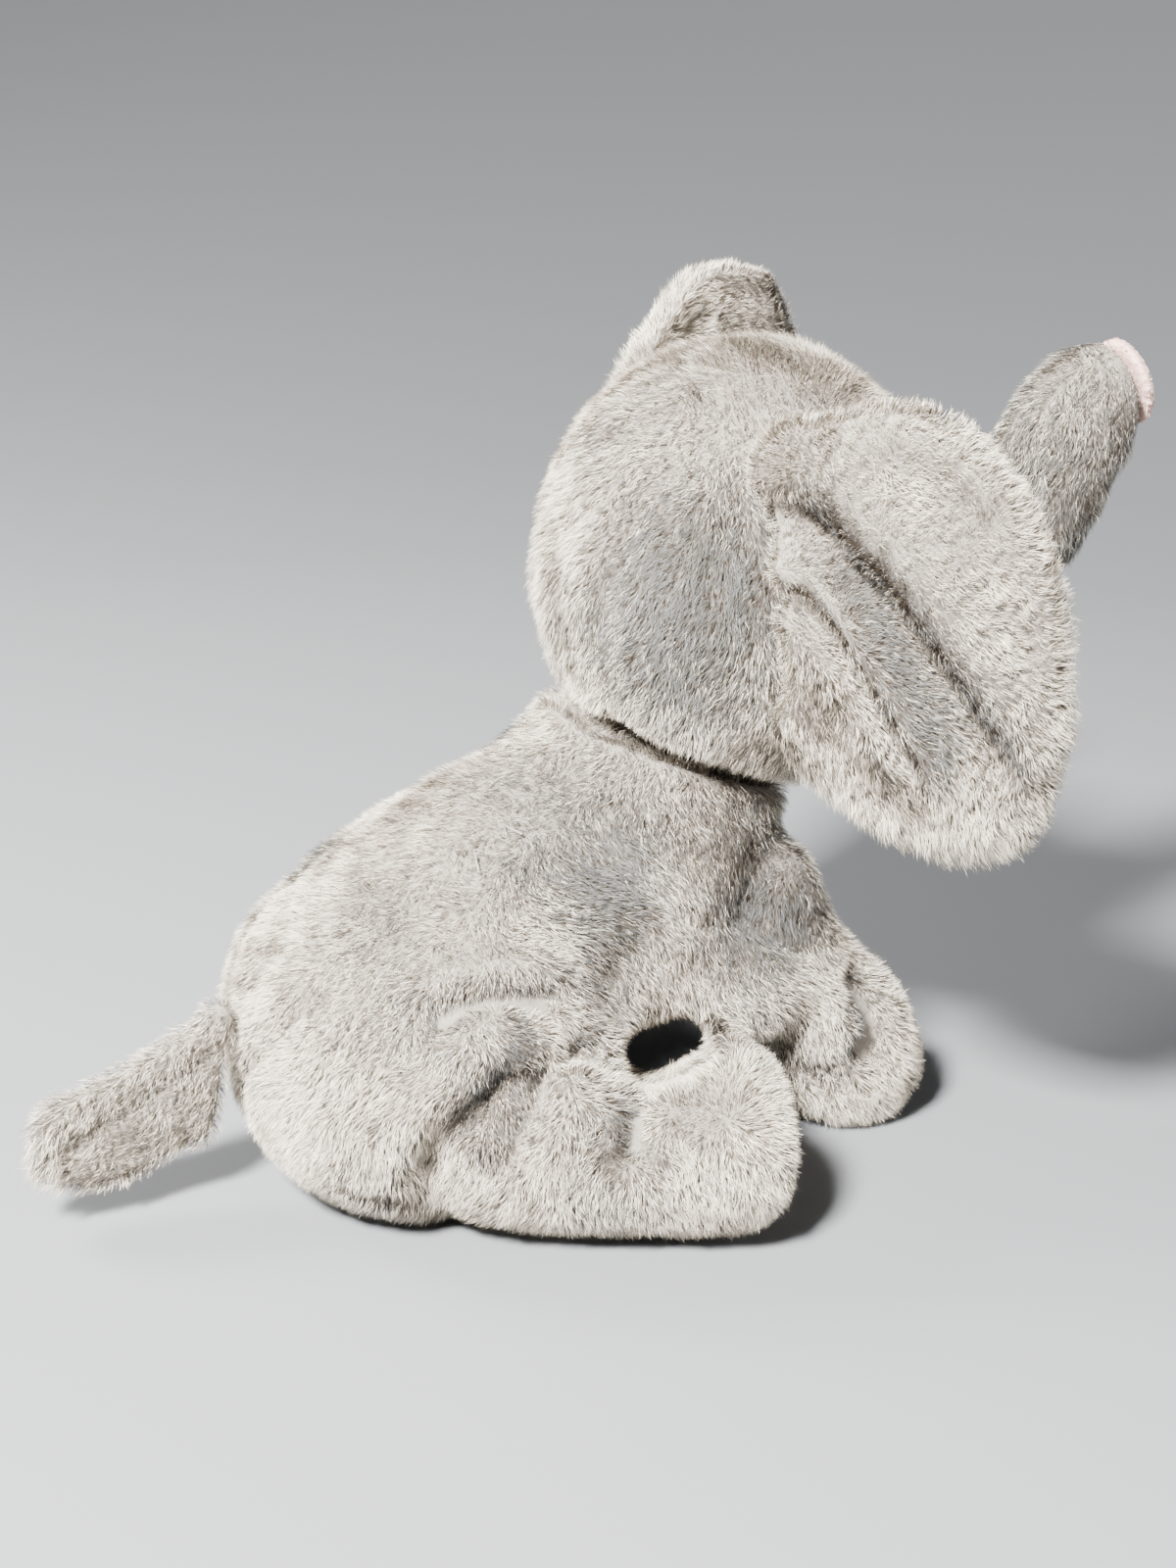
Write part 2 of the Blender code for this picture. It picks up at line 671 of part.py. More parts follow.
def make_trunk(looks, parts, cutters, head_pivot, head_nodes):
    middles, (radius,) = read_line(TRUNK, TRUNK_RINGS)
    centre = Vector(middles[0])
    middles, (radius,) = round_start(middles, [radius])
    form = tube_form(middles, radius, radius, radius, LIMB_SIDES, trunk_panel, close_end=False)
    closed = tube_form(middles, radius, radius, radius, LIMB_SIDES, trunk_panel)
    along = Vector(middles[-1] - middles[-2]).normalized()
    pad_middle = Vector(middles[-1]) + along * (FILL_GAP + TRUNK_PAD_THICKNESS / 2)
    pad = cylinder("trunk_tip_pad", pad_middle, along, TRUNK_PAD_RADIUS,
                   TRUNK_PAD_THICKNESS, parts, top_radius=TRUNK_PAD_RADIUS * TRUNK_PAD_TAPER)
    pad.data.materials.append(looks["pink"])
    nodes = [
        cloth_panel("trunk_top_panel", form, "top", looks["fur"], parts),
        cloth_panel("trunk_under_panel", form, "under", looks["fur"], parts),
        inner_solid("trunk_filling", closed, CLOTH + FILL_GAP, looks["fibre"], parts,
                    form.normals()),
        pad,
    ]
    trunk_pivot = pivot("trunk_joint", centre, parts, head_pivot)
    for node in nodes:
        hang(node, trunk_pivot)
    dish = as_cutter(ball("trunk_dish", centre, TRUNK[0][1] + DISH_GAP, parts), cutters)
    hang(dish, head_pivot)
    for panel in ("gusset", "chin", "filling"):
        boolean(head_nodes[panel], dish)


def make_leg(end_name, side, stations, axis, angles, looks, parts, cutters, torso_nodes):
    """A leg on its pivot, with room for its turns cut from the torso."""
    name = f"{end_name}_leg_{side}"
    hand = HANDS[side]
    mirrored = [((x, hand * y, z), *sizes) for (x, y, z), *sizes in stations]
    middles, (width, high) = read_line(mirrored, LEG_RINGS)
    centre = Vector(middles[0])
    middles, (width, high) = round_start(middles, [width, high])
    outer = (0, hand, 0)

    def leg_panel(angle):
        return "outer" if angle < 180 else "inner"

    form = tube_form(middles, width, high, high, LIMB_SIDES, leg_panel, side=outer, floor=0.0,
                     close_end=False)
    closed = tube_form(middles, width, high, high, LIMB_SIDES, leg_panel, side=outer, floor=0.0)
    end = Vector(middles[-1])
    if end_name == "front":
        along = Vector((0, 0, -1))
        sole_middle = Vector((end.x, end.y, SOLE_THICKNESS / 2))
    else:
        along = Vector(middles[-1] - middles[-2]).normalized()
        sole_middle = end + along * (2 * FILL_GAP + SOLE_THICKNESS / 2)
    sole = cylinder(f"{name}_sole", sole_middle, along, width[-1] - SOLE_INSET,
                    SOLE_THICKNESS, parts)
    sole.data.materials.append(looks["sole"])
    nodes = [
        cloth_panel(f"{name}_outer_panel", form, "outer", looks["fur"], parts),
        cloth_panel(f"{name}_inner_panel", form, "inner", looks["fur"], parts),
        inner_solid(f"{name}_filling", closed, CLOTH + FILL_GAP, looks["fibre"], parts,
                    form.normals()),
        sole,
    ]
    leg_pivot = pivot(f"{name}_joint", centre, parts)
    for node in nodes:
        hang(node, leg_pivot)
    radius = max(stations[0][1:])
    for cutter in room_cutters(name, closed, centre, radius, axis, angles, cutters):
        as_cutter(cutter, cutters)
        for panel in ("belly", side, "filling"):
            # EXACT leaves part of a leg's room uncut in the filling. All of these are closed.
            boolean(torso_nodes[panel], cutter, solver="MANIFOLD")


def make_tail(looks, parts):
    """Two flat layers of cloth in the middle plane, hinged at the root."""
    hinge = pivot("tail_joint", TAIL_HINGE, parts)
    outline = [(x - TAIL_HINGE.x, z - TAIL_HINGE.z) for x, z in TAIL_TOP + TAIL_BOTTOM]
    for side, hand in HANDS.items():
        tail = flat_layer(f"tail_{side}_panel", outline, TAIL_CLOTH, looks["fur"], parts)
        upright = Matrix(((1, 0, 0), (0, 0, 1), (0, -1, 0))).transposed().to_4x4()
        upright.translation = (0, hand * (TAIL_CLOTH + SEAM_GAP) / 2, 0)
        tail.parent = hinge
        tail.matrix_local = upright


def main():
    clear_scene()
    parts = new_collection("stuffed_elephant")
    cutters = new_collection("cutters")
    looks = {name: material(name, look) for name, look in (
        ("fur", FUR), ("lining", LINING), ("pink", PINK), ("sole", SOLE), ("fibre", FIBRE),
        ("beans", BEANS), ("eye", EYE), ("washer", WASHER), ("thread", THREAD))}
    torso_nodes = make_torso(looks, parts, cutters)
    head_pivot = pivot("neck_joint", NECK, parts)
    head_nodes = make_head(looks, parts, cutters, head_pivot)
    make_trunk(looks, parts, cutters, head_pivot, head_nodes)
    for side, hand in HANDS.items():
        make_leg("front", side, FRONT_LEG, (0, -1, 0), FRONT_LEG_ROOM,
                 looks, parts, cutters, torso_nodes)
        make_leg("hind", side, HIND_LEG, (0, 0, hand), HIND_LEG_ROOM,
                 looks, parts, cutters, torso_nodes)
        make_ear(side, hand, looks, parts, head_pivot)
    make_tail(looks, parts)
    head_pivot.rotation_euler = (HEAD_ROLL, 0, HEAD_TURN)
    for obj in bpy.data.objects:
        if obj.parent is None:
            obj.location.x -= SEAT_X


main()
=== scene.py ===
"""Looks of the sitting plush elephant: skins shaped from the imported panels, and real pile.

Metres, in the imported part's frame: +X forward, -Y the elephant's right, +Z up.
"""

import json
import math

import bpy
import numpy as np
from mathutils import Matrix, Vector
from mathutils.bvhtree import BVHTree

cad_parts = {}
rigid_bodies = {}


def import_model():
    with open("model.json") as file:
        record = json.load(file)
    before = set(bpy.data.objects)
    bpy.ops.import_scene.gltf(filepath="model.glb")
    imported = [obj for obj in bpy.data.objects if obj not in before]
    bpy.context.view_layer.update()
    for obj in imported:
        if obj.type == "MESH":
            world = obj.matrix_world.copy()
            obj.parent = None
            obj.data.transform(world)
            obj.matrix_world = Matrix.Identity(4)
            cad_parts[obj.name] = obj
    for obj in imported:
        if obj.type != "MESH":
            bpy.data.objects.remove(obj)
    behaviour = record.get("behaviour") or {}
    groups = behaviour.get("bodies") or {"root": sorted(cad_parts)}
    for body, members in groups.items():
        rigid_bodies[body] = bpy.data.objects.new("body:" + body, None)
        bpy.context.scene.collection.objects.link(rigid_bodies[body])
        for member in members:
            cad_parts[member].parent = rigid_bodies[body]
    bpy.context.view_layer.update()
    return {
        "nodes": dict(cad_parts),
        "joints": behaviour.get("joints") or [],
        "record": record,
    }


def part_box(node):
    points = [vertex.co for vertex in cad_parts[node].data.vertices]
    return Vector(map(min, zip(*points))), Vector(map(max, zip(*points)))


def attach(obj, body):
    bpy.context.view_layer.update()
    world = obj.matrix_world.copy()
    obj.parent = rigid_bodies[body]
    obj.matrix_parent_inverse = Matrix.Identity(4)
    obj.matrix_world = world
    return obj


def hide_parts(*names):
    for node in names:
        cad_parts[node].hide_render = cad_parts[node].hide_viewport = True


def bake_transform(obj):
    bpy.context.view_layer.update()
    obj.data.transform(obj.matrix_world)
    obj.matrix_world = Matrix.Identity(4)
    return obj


UP = np.array((0.0, 0.0, 1.0))
REAR = np.array((-1.0, 0.0, 0.0))

# Cloth and pile.
SKIN_DEPTH = 0.0030  # the backing lies this far inside the part's surface
BRIDGE = 0.0045  # gaps between limb and body narrower than twice this are closed over
VOXEL = 0.0025  # edge length of a skin's mesh
PILE_LENGTH = 0.0064
PILE_WIDTH = 0.00023
PILE_PER_M2 = 2.1e6
PILE_LEAN = (24, 50)  # degrees off upright, of a blade's lower and upper half
FLAT_LEAN = (24, 22)  # added where the nap is brushed flat
PILE_CLUMP = 0.0011  # how far tips gather towards each other
CLUMP_WAVE = 0.0036  # from clump to clump
MOST_BLADES = 60000  # in one piece

# How the pile varies, from place to place (with a wavelength) and from blade to blade.
SWAY_WAVE = 0.045
SWAY_TURN = 0.40  # radians that the nap turns by
FINE_SWAY_WAVE = 0.012
FINE_SWAY_TURN = 0.35
STRAY_TURN = 0.28  # radians, from blade to blade
UNEVEN_WAVE = 0.020
UNEVEN_LENGTH = 0.10  # share of the length, both from place to place and between blades
UNEVEN_CLUMP = 0.4
LIFT_WAVE = 0.030
LIFT_ANGLE = 7  # degrees
STRAY_LEAN = (6, 9)  # degrees, of a blade's lower and upper half
STRAY_ROLL = 0.5  # radians

# Folds. The first three are multiples of a fold's width, the others are shares.
ROLL_AWAY = 2.2  # from the groove to the middle of the roll on each side
LEE_AWAY = 1.3  # from the groove to the middle of the flat nap on its lee side
LEE_WIDTH = 1.2
FOLD_END = 0.2  # of the line, over which each end fades out
# How much shade is painted into a fold's groove.
GROOVE_PAINTED_SHADE = 0.8
FOLD_SHORTER = 0.55  # of the pile's length
# How flat the nap lies on the lee side; that also paints it darker, as painted shade.
LEE_FLAT = 0.85
LEE_SHORTER = 0.30

# Where a limb's cloth bends, from its joint.
LEG_BEND = (0.010, 0.045)  # before and after the joint
LIMB_BEND = 0.030  # after an ear's or the trunk's joint
TRUNK_LEVEL = (1, 1, 0.3)  # turns the trunk's direction nearer level there
TAIL_BEND = (-0.018, 0, -0.004)

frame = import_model()
nodes = frame["nodes"]
joints = {joint["name"]: joint for joint in frame["joints"]}


# Vectors and noise.


def unit(vectors):
    """Vectors of the same direction at length 1."""
    lengths = np.linalg.norm(vectors, axis=-1, keepdims=True)
    return vectors / np.maximum(lengths, 1e-9)


def tangent(vectors, normals):
    """The part of each vector that lies along the surface, at unit length."""
    return unit(vectors - normals * np.sum(vectors * normals, axis=1, keepdims=True))


def waves(points, wavelength, seed, count=9):
    """Smooth noise of about -1 to 1 from crossing waves, and its gradient in 1/wavelength."""
    source = np.random.default_rng(seed)
    value = np.zeros(len(points))
    slope = np.zeros((len(points), 3))
    for _ in range(count):
        direction = unit(source.normal(size=3))
        turn = 2 * math.pi / (wavelength * source.uniform(0.65, 1.5))
        phase = points @ direction * turn + source.uniform(0, 2 * math.pi)
        value += np.sin(phase)
        slope += np.cos(phase)[:, None] * direction * turn * wavelength / (2 * math.pi)
    scale = math.sqrt(2 / count) * 0.7
    return value * scale, slope * scale


def ramp(values, low, high):
    """0 below low, 1 above high and smooth between."""
    share = np.clip((values - low) / (high - low), 0, 1)
    return share * share * (3 - 2 * share)


def distance_to_line(points, line):
    """Distance from each point to a polyline, and how far along the line it is, 0 to 1."""
    best = np.full(len(points), 1e9)
    where = np.zeros(len(points))
    line = np.asarray(line, float)
    for k in range(len(line) - 1):
        start, step = line[k], line[k + 1] - line[k]
        t = np.clip((points - start) @ step / max(step @ step, 1e-12), 0, 1)
        away = np.linalg.norm(points - start - t[:, None] * step, axis=1)
        nearer = away < best
        best[nearer] = away[nearer]
        where[nearer] = (k + t[nearer]) / (len(line) - 1)
    return best, where


def finer(line, count=25):
    """A polyline with more, evenly shared points."""
    line = np.asarray(line, float)
    steps = np.linspace(0, len(line) - 1, count)
    return np.stack([np.interp(steps, np.arange(len(line)), line[:, k]) for k in range(3)],
                    axis=1)


# Meshes.


def mesh_arrays(mesh):
    """Points and triangles of a mesh."""
    mesh.calc_loop_triangles()
    points = np.empty(len(mesh.vertices) * 3, np.float32)
    mesh.vertices.foreach_get("co", points)
    faces = np.empty(len(mesh.loop_triangles) * 3, np.int32)
    mesh.loop_triangles.foreach_get("vertices", faces)
    return points.reshape(-1, 3).astype(float), faces.reshape(-1, 3)


def joined_nodes(names):
    """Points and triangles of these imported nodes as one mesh."""
    points, faces, start = [], [], 0
    for name in names:
        some_points, some_faces = mesh_arrays(nodes[name].data)
        points.append(some_points)
        faces.append(some_faces + start)
        start += len(some_points)
    return np.vstack(points), np.vstack(faces)


def new_object(name, points, faces):
    mesh = bpy.data.meshes.new(name)
    mesh.from_pydata(points.tolist(), [], faces.tolist())
    obj = bpy.data.objects.new(name, mesh)
    bpy.context.scene.collection.objects.link(obj)
    return obj


def remeshed(points, faces, voxel=VOXEL, cutters=()):
    """One even, closed quad mesh round these solids, less the cutters, as points and quads."""
    source = new_object("remesh_source", points, faces)
    for cutter in cutters:
        modifier = source.modifiers.new("Cut", "BOOLEAN")
        modifier.operation = "DIFFERENCE"
        modifier.object = cutter
        modifier.solver = "EXACT"
    modifier = source.modifiers.new("Remesh", "REMESH")
    modifier.mode = "VOXEL"
    modifier.voxel_size = voxel
    graph = bpy.context.evaluated_depsgraph_get()
    made = bpy.data.meshes.new_from_object(source.evaluated_get(graph))
    points = np.empty(len(made.vertices) * 3, np.float32)
    made.vertices.foreach_get("co", points)
    quads = np.empty(len(made.polygons) * 4, np.int32)
    made.polygons.foreach_get("vertices", quads)
    bpy.data.objects.remove(source)
    bpy.data.meshes.remove(made)
    return largest_part(points.reshape(-1, 3).astype(float), quads.reshape(-1, 4))


def largest_part(points, quads):
    """Keeps the biggest connected part of a mesh."""
    label = np.arange(len(points))
    edges = np.vstack([quads[:, [k, (k + 1) % 4]] for k in range(4)])
    while True:
        low = np.minimum(label[edges[:, 0]], label[edges[:, 1]])
        before = label.copy()
        np.minimum.at(label, edges[:, 0], low)
        np.minimum.at(label, edges[:, 1], low)
        label = label[label]
        if np.array_equal(before, label):
            break
    main = np.bincount(label).argmax()
    keep = label == main
    number = np.cumsum(keep) - 1
    return points[keep], number[quads[keep[quads].all(axis=1)]]


def neighbour_mean(points, quads, values):
    """The mean of the values at each point's neighbours."""
    total = np.zeros_like(values)
    count = np.zeros(len(points))
    for k in range(4):
        a, b = quads[:, k], quads[:, (k + 1) % 4]
        np.add.at(total, a, values[b])
        np.add.at(total, b, values[a])
        np.add.at(count, a, 1)
        np.add.at(count, b, 1)
    return total / np.maximum(count, 1)[:, None]


def smoothed(points, quads, rounds):
    """Evens out facets. Each second step pushes back out, so that little volume is lost."""
    for _ in range(rounds):
        points = points + 0.6 * (neighbour_mean(points, quads, points) - points)
        points = points - 0.45 * (neighbour_mean(points, quads, points) - points)
    return points


def normals_of(points, quads):
    across = np.cross(points[quads[:, 2]] - points[quads[:, 0]],
                      points[quads[:, 3]] - points[quads[:, 1]])
    total = np.zeros_like(points)
    for k in range(4):
        np.add.at(total, quads[:, k], across)
    return unit(total)


def tree_of(points, faces):
    return BVHTree.FromPolygons([Vector(p) for p in points], [tuple(f) for f in faces])


def nearest(tree, points):
    """The nearest point of the tree's surface to each point, and its distance."""
    places = np.empty_like(points)
    away = np.empty(len(points))
    for i, point in enumerate(points):
        place, _, _, distance = tree.find_nearest(Vector(point))
        places[i] = place
        away[i] = distance
    return places, away


class Skin:
    """A closed backing surface, with what the pile on it looks like at each point.

    comb is the way the nap lies, length a factor of the pile's length, flat how far the nap
    is brushed down (0 to 1), where the pile is also painted darker as shade, and painted_shade
    how much shade is painted into the pile (0 to 1), as deep in a fold.
    """

    def __init__(self, points, quads):
        self.points = points
        self.quads = quads
        self.comb = np.tile(-UP, (len(points), 1))
        self.length = np.ones(len(points))
        self.flat = np.zeros(len(points))
        self.painted_shade = np.zeros(len(points))
        self.refresh()

    def refresh(self):
        self.normals = normals_of(self.points, self.quads)

    def push(self, amounts):
        self.points = self.points + self.normals * np.asarray(amounts).reshape(-1, 1)
        self.refresh()

    def soften(self, share, rounds):
        """Evens the surface out where share is 1."""
        soft = smoothed(self.points, self.quads, rounds)
        self.points = self.points + (soft - self.points) * share[:, None]
        self.refresh()

    def near(self, centre, radius):
        """1 at a place, falling off to 0 round it."""
        away = np.linalg.norm(self.points - np.asarray(centre), axis=1)
        return np.exp(-((away / radius) ** 2))

    def brush(self, share, direction):
        """Turns the nap towards a direction, or one direction for each point."""
        self.comb = unit(self.comb * (1 - share)[:, None] + unit(direction) * share[:, None])

    def whorl(self, centre, radius):
        """Makes the nap spread outward from a place."""
        self.brush(self.near(centre, radius), self.points - np.asarray(centre))

    def paint_shade(self, centre, radius, amount):
        """Paints shade round a place, as deep in a fold: the pile there turns browner and darker.
        """
        self.painted_shade = np.maximum(self.painted_shade, amount * self.near(centre, radius))

    def flatten(self, centre, radius, amount):
        """Brushes the nap down round a place, where the pile is also painted darker as shade."""
        self.flat = np.maximum(self.flat, amount * self.near(centre, radius))

    def crease(self, line, depth, width, roll=0.0, lee=None):
        """Presses a groove along a line, with a soft roll of cloth on each side of it.

        On the lee side the nap is brushed flat into the groove. Shade is painted into the groove,
        and the flat nap on the lee side is painted darker as shade.
        """
        line, _ = nearest(tree_of(self.points, self.quads), finer(line))
        away, share = distance_to_line(self.points, line)
        fade = ramp(share, 0, FOLD_END) * (1 - ramp(share, 1 - FOLD_END, 1))
        groove = np.exp(-((away / width) ** 2)) * fade
        sides = np.exp(-(((away - ROLL_AWAY * width) / width) ** 2)) * fade
        self.push(roll * sides - depth * groove)
        # Painted shade: the pile in the groove turns browner and darker.
        self.painted_shade = np.maximum(self.painted_shade, GROOVE_PAINTED_SHADE * groove)
        self.length *= 1 - FOLD_SHORTER * groove
        if lee is not None:
            lee_line = line + unit(np.array(lee)) * LEE_AWAY * width
            away, _ = distance_to_line(self.points, lee_line)
            slope = np.exp(-((away / (LEE_WIDTH * width)) ** 2)) * fade
            self.flat = np.maximum(self.flat, LEE_FLAT * slope)
            self.length *= 1 - LEE_SHORTER * slope


def skin_of_solid(points, quads, rounds=10, depth=SKIN_DEPTH, bridge=0.0):
    """A skin inside a solid's surface. Gaps narrower than twice the bridge are closed over."""
    if bridge:
        grown = Skin(points, quads)
        grown.push(bridge)
        points, quads = remeshed(smoothed(grown.points, quads, 3), quads)
    skin = Skin(smoothed(points, quads, rounds), quads)
    skin.push(-depth - bridge)
    return skin


# Pile.


class Pile:
    """Blades, shape (count, 5, 3), and what the skin's fields say at their roots."""

    def __init__(self, blades, owner, flat, painted_shade):
        self.blades = blades
        self.owner = owner
        self.flat = flat
        self.painted_shade = painted_shade

    def part(self, chosen):
        return Pile(self.blades[chosen], self.owner[chosen], self.flat[chosen],
                    self.painted_shade[chosen])


def grow(skin, owner=None, per_m2=PILE_PER_M2, lean=PILE_LEAN, clump=PILE_CLUMP,
         width=PILE_WIDTH, wavelength=CLUMP_WAVE, seed=1):
    """Pile rooted all over a skin. owner is a whole number for each of the skin's points.

    wavelength is the distance from clump to clump.
    """
    source = np.random.default_rng(seed)
    points, quads = skin.points, skin.quads
    corners = points[quads]
    area = 0.5 * np.linalg.norm(np.cross(corners[:, 2] - corners[:, 0],
                                         corners[:, 3] - corners[:, 1]), axis=1)
    face_length = skin.length[quads].mean(axis=1)
    weight = area * np.clip(face_length * 4, 0, 1)
    total = int(weight.sum() * per_m2)
    chosen = source.choice(len(quads), size=total, p=weight / weight.sum())
    u, v = source.random(total), source.random(total)
    share = np.stack([(1 - u) * (1 - v), u * (1 - v), u * v, (1 - u) * v], axis=1)

    def read(values):
        picked = values[quads[chosen]]
        return np.einsum("nk,nk...->n...", share, picked)

    root = read(points)
    normal = unit(read(skin.normals))
    flow = tangent(read(skin.comb), normal)
    sway, _ = waves(root, SWAY_WAVE, seed + 1)
    fine, _ = waves(root, FINE_SWAY_WAVE, seed + 2)
    turn = SWAY_TURN * sway + FINE_SWAY_TURN * fine + source.normal(0, STRAY_TURN, total)
    side = np.cross(normal, flow)
    flow = flow * np.cos(turn)[:, None] + side * np.sin(turn)[:, None]
    side = np.cross(normal, flow)
    uneven, _ = waves(root, UNEVEN_WAVE, seed + 3)
    varied = 1 + UNEVEN_LENGTH * uneven + source.normal(0, UNEVEN_LENGTH, total)
    reach = PILE_LENGTH * read(skin.length) * varied
    lift, _ = waves(root, LIFT_WAVE, seed + 4)
    down = read(skin.flat)
    low, high = (np.radians(lean[half] + FLAT_LEAN[half] * down + LIFT_ANGLE * lift
                            + source.normal(0, STRAY_LEAN[half], total)) for half in (0, 1))
    first = normal * np.cos(low)[:, None] + flow * np.sin(low)[:, None]
    second = normal * np.cos(high)[:, None] + flow * np.sin(high)[:, None]
    _, pull = waves(root, wavelength, seed + 5)
    pull -= normal * np.sum(pull * normal, axis=1, keepdims=True)
    strength = clump * (1 + UNEVEN_CLUMP * uneven) * (1 - 0.6 * down)
    middle = root + first * (reach * 0.5)[:, None] + pull * (0.35 * strength)[:, None]
    tip = middle + second * (reach * 0.5)[:, None] + pull * (0.65 * strength)[:, None]
    roll = source.normal(0, STRAY_ROLL, total)
    flat = side * np.cos(roll)[:, None] + normal * np.sin(roll)[:, None]
    half = flat * (width / 2 * source.uniform(0.7, 1.25, total))[:, None]
    blades = np.stack([root - half, root + half, middle + half * 0.85,
                       middle - half * 0.85, tip], axis=1)
    owner = np.zeros(len(points), int) if owner is None else owner
    owners = owner[quads[chosen, source.integers(0, 4, total)]]
    return Pile(blades, owners, down, read(skin.painted_shade))


def blade_object(name, blades, looks, tip, base):
    """One mesh of ribbons, each a quad and a tip, with the look chosen for each of the two."""
    count = len(blades)
    mesh = bpy.data.meshes.new(name)
    mesh.vertices.add(count * 5)
    mesh.vertices.foreach_set("co", blades.reshape(-1).astype(np.float32))
    start = (np.arange(count) * 5)[:, None]
    corners = np.hstack([start + [0, 1, 2, 3], start + [3, 2, 4]]).reshape(-1)
    mesh.loops.add(count * 7)
    mesh.loops.foreach_set("vertex_index", corners.astype(np.int32))
    mesh.polygons.add(count * 2)
    starts = ((np.arange(count) * 7)[:, None] + [0, 4]).reshape(-1)
    mesh.polygons.foreach_set("loop_start", starts.astype(np.int32))
    for look in looks:
        mesh.materials.append(look)
    pairs = np.stack([base, tip], axis=1).reshape(-1)
    mesh.polygons.foreach_set("material_index", pairs.astype(np.int32))
    mesh.update()
    obj = bpy.data.objects.new(name, mesh)
    bpy.context.scene.collection.objects.link(obj)
    return obj


# Looks.


def principled(name, colour, roughness=0.85, sheen=0.0):
    look = bpy.data.materials.new(name)
    look.use_nodes = True
    shader = look.node_tree.nodes["Principled BSDF"]
    shader.inputs["Base Color"].default_value = (*colour, 1)
    shader.inputs["Roughness"].default_value = roughness
    shader.inputs["Specular IOR Level"].default_value = 0.3
    shader.inputs["Sheen Weight"].default_value = sheen
    shader.inputs["Sheen Roughness"].default_value = 0.4
    return look


def mottled(name, dark, light, scale, roughness=0.9, bump=0.3, sheen=0.2):
    """A cloth look: two tones mixed by one noise, with a raised nap."""
    look = principled(name, light, roughness, sheen)
    tree = look.node_tree
    shader = tree.nodes["Principled BSDF"]
    place = tree.nodes.new("ShaderNodeTexCoord")
    fine = tree.nodes.new("ShaderNodeTexNoise")
    fine.inputs["Scale"].default_value = scale
    fine.inputs["Detail"].default_value = 6
    mix = tree.nodes.new("ShaderNodeMix")
    mix.data_type = "RGBA"
    mix.inputs["A"].default_value = (*dark, 1)
    mix.inputs["B"].default_value = (*light, 1)
    raised = tree.nodes.new("ShaderNodeBump")
    raised.inputs["Strength"].default_value = bump
    raised.inputs["Distance"].default_value = 0.001
    link = tree.links.new
    link(place.outputs["Object"], fine.inputs["Vector"])
    link(fine.outputs["Fac"], mix.inputs["Factor"])
    link(mix.outputs["Result"], shader.inputs["Base Color"])
    link(fine.outputs["Fac"], raised.inputs["Height"])
    link(raised.outputs["Normal"], shader.inputs["Normal"])
    return look


def shades(name, dark, light, count):
    """Evenly spaced tones of pile, from dark to light."""
    steps = np.linspace(0, 1, count)[:, None]
    colours = np.array(dark) * (1 - steps) + np.array(light) * steps
    return [principled(f"{name}_{k}", tuple(c), 0.55) for k, c in enumerate(colours)]


WARM_COUNT = 8
COOL_COUNT = 3
# Warm tones, dark brown to cream; their dark end also serves as painted shade in folds.
FUR_LOOKS = shades("pile_warm", (0.045, 0.032, 0.021), (0.70, 0.615, 0.49), WARM_COUNT)
# Cool tones: much darker copies of the pile, painted shade where the nap lies flat.
FUR_LOOKS += shades("pile_painted_shade", (0.045, 0.044, 0.041), (0.105, 0.102, 0.094), COOL_COUNT)
PINK_LOOKS = shades("pink_pile", (0.50, 0.31, 0.26), (0.68, 0.47, 0.41), 4)
BACKING = mottled("backing", (0.13, 0.11, 0.09), (0.26, 0.23, 0.19), 160)
PINK_CLOTH = mottled("pink_velour", (0.50, 0.31, 0.26), (0.64, 0.43, 0.37), 900)
THREAD = mottled("thread", (0.20, 0.17, 0.14), (0.34, 0.30, 0.25), 2500)
EYE_LOOK = mottled("eye_gloss", (0.010, 0.006, 0.004), (0.030, 0.018, 0.012), 240, 0.12,
                   bump=0.0, sheen=0.0)
WASHER_LOOK = mottled("washer_white", (0.74, 0.74, 0.72), (0.84, 0.84, 0.82), 300, 0.5,
                      bump=0.1, sheen=0.0)


# Parts of the toy.

HANDS = {"right": -1, "left": 1}
LEGS = [f"{end}_leg_{side}" for end in ("front", "hind") for side in HANDS]
BODIES = frame["record"]["behaviour"]["bodies"]


def cloth_nodes(body):
    return [name for name in BODIES[body]
            if not name.startswith("eye_") and name not in ("closing_stitch", "trunk_tip_pad")]


def joint_place(name):
    return np.array(joints[name]["pos_m"], float)


def centre_of(name):
    low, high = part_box(name)
    return np.array((low + high) / 2)


def leg_joint(leg):
    return f"{leg}_raise" if leg.startswith("front") else f"{leg}_spread"


def by_joint(name, side, offsets):
    """Places given as offsets (forward, outward, up) from a joint, on either side."""
    return joint_place(name) + np.atleast_2d(offsets) * (1, HANDS[side], 1)


def leg_root(leg):
    before, after = LEG_BEND
    start = joint_place(leg_joint(leg))
    along = unit(centre_of(f"{leg}_sole") - start)
    return "torso", tuple(start - along * before), tuple(start + along * after)


def ear_axes(side):
    """The ear's hinge place and its out, root and back directions."""
    joint = joints[f"ear_{side}_flap"]
    place = np.array(joint["pos_m"], float)
    root = unit(np.array(joint["axis"], float))
    points, _ = joined_nodes([f"ear_{side}_filling"])
    out = points.mean(axis=0) - place
    out = unit(out - root * (out @ root))
    back_points, _ = joined_nodes([f"ear_{side}_back_panel"])
    back = unit(np.cross(out, root))
    if (back_points.mean(axis=0) - points.mean(axis=0)) @ back < 0:
        back = -back
    return place, out, root, back


TRUNK_PLACE = joint_place("trunk_bend")
TAIL_PLACE = joint_place("tail_swing")


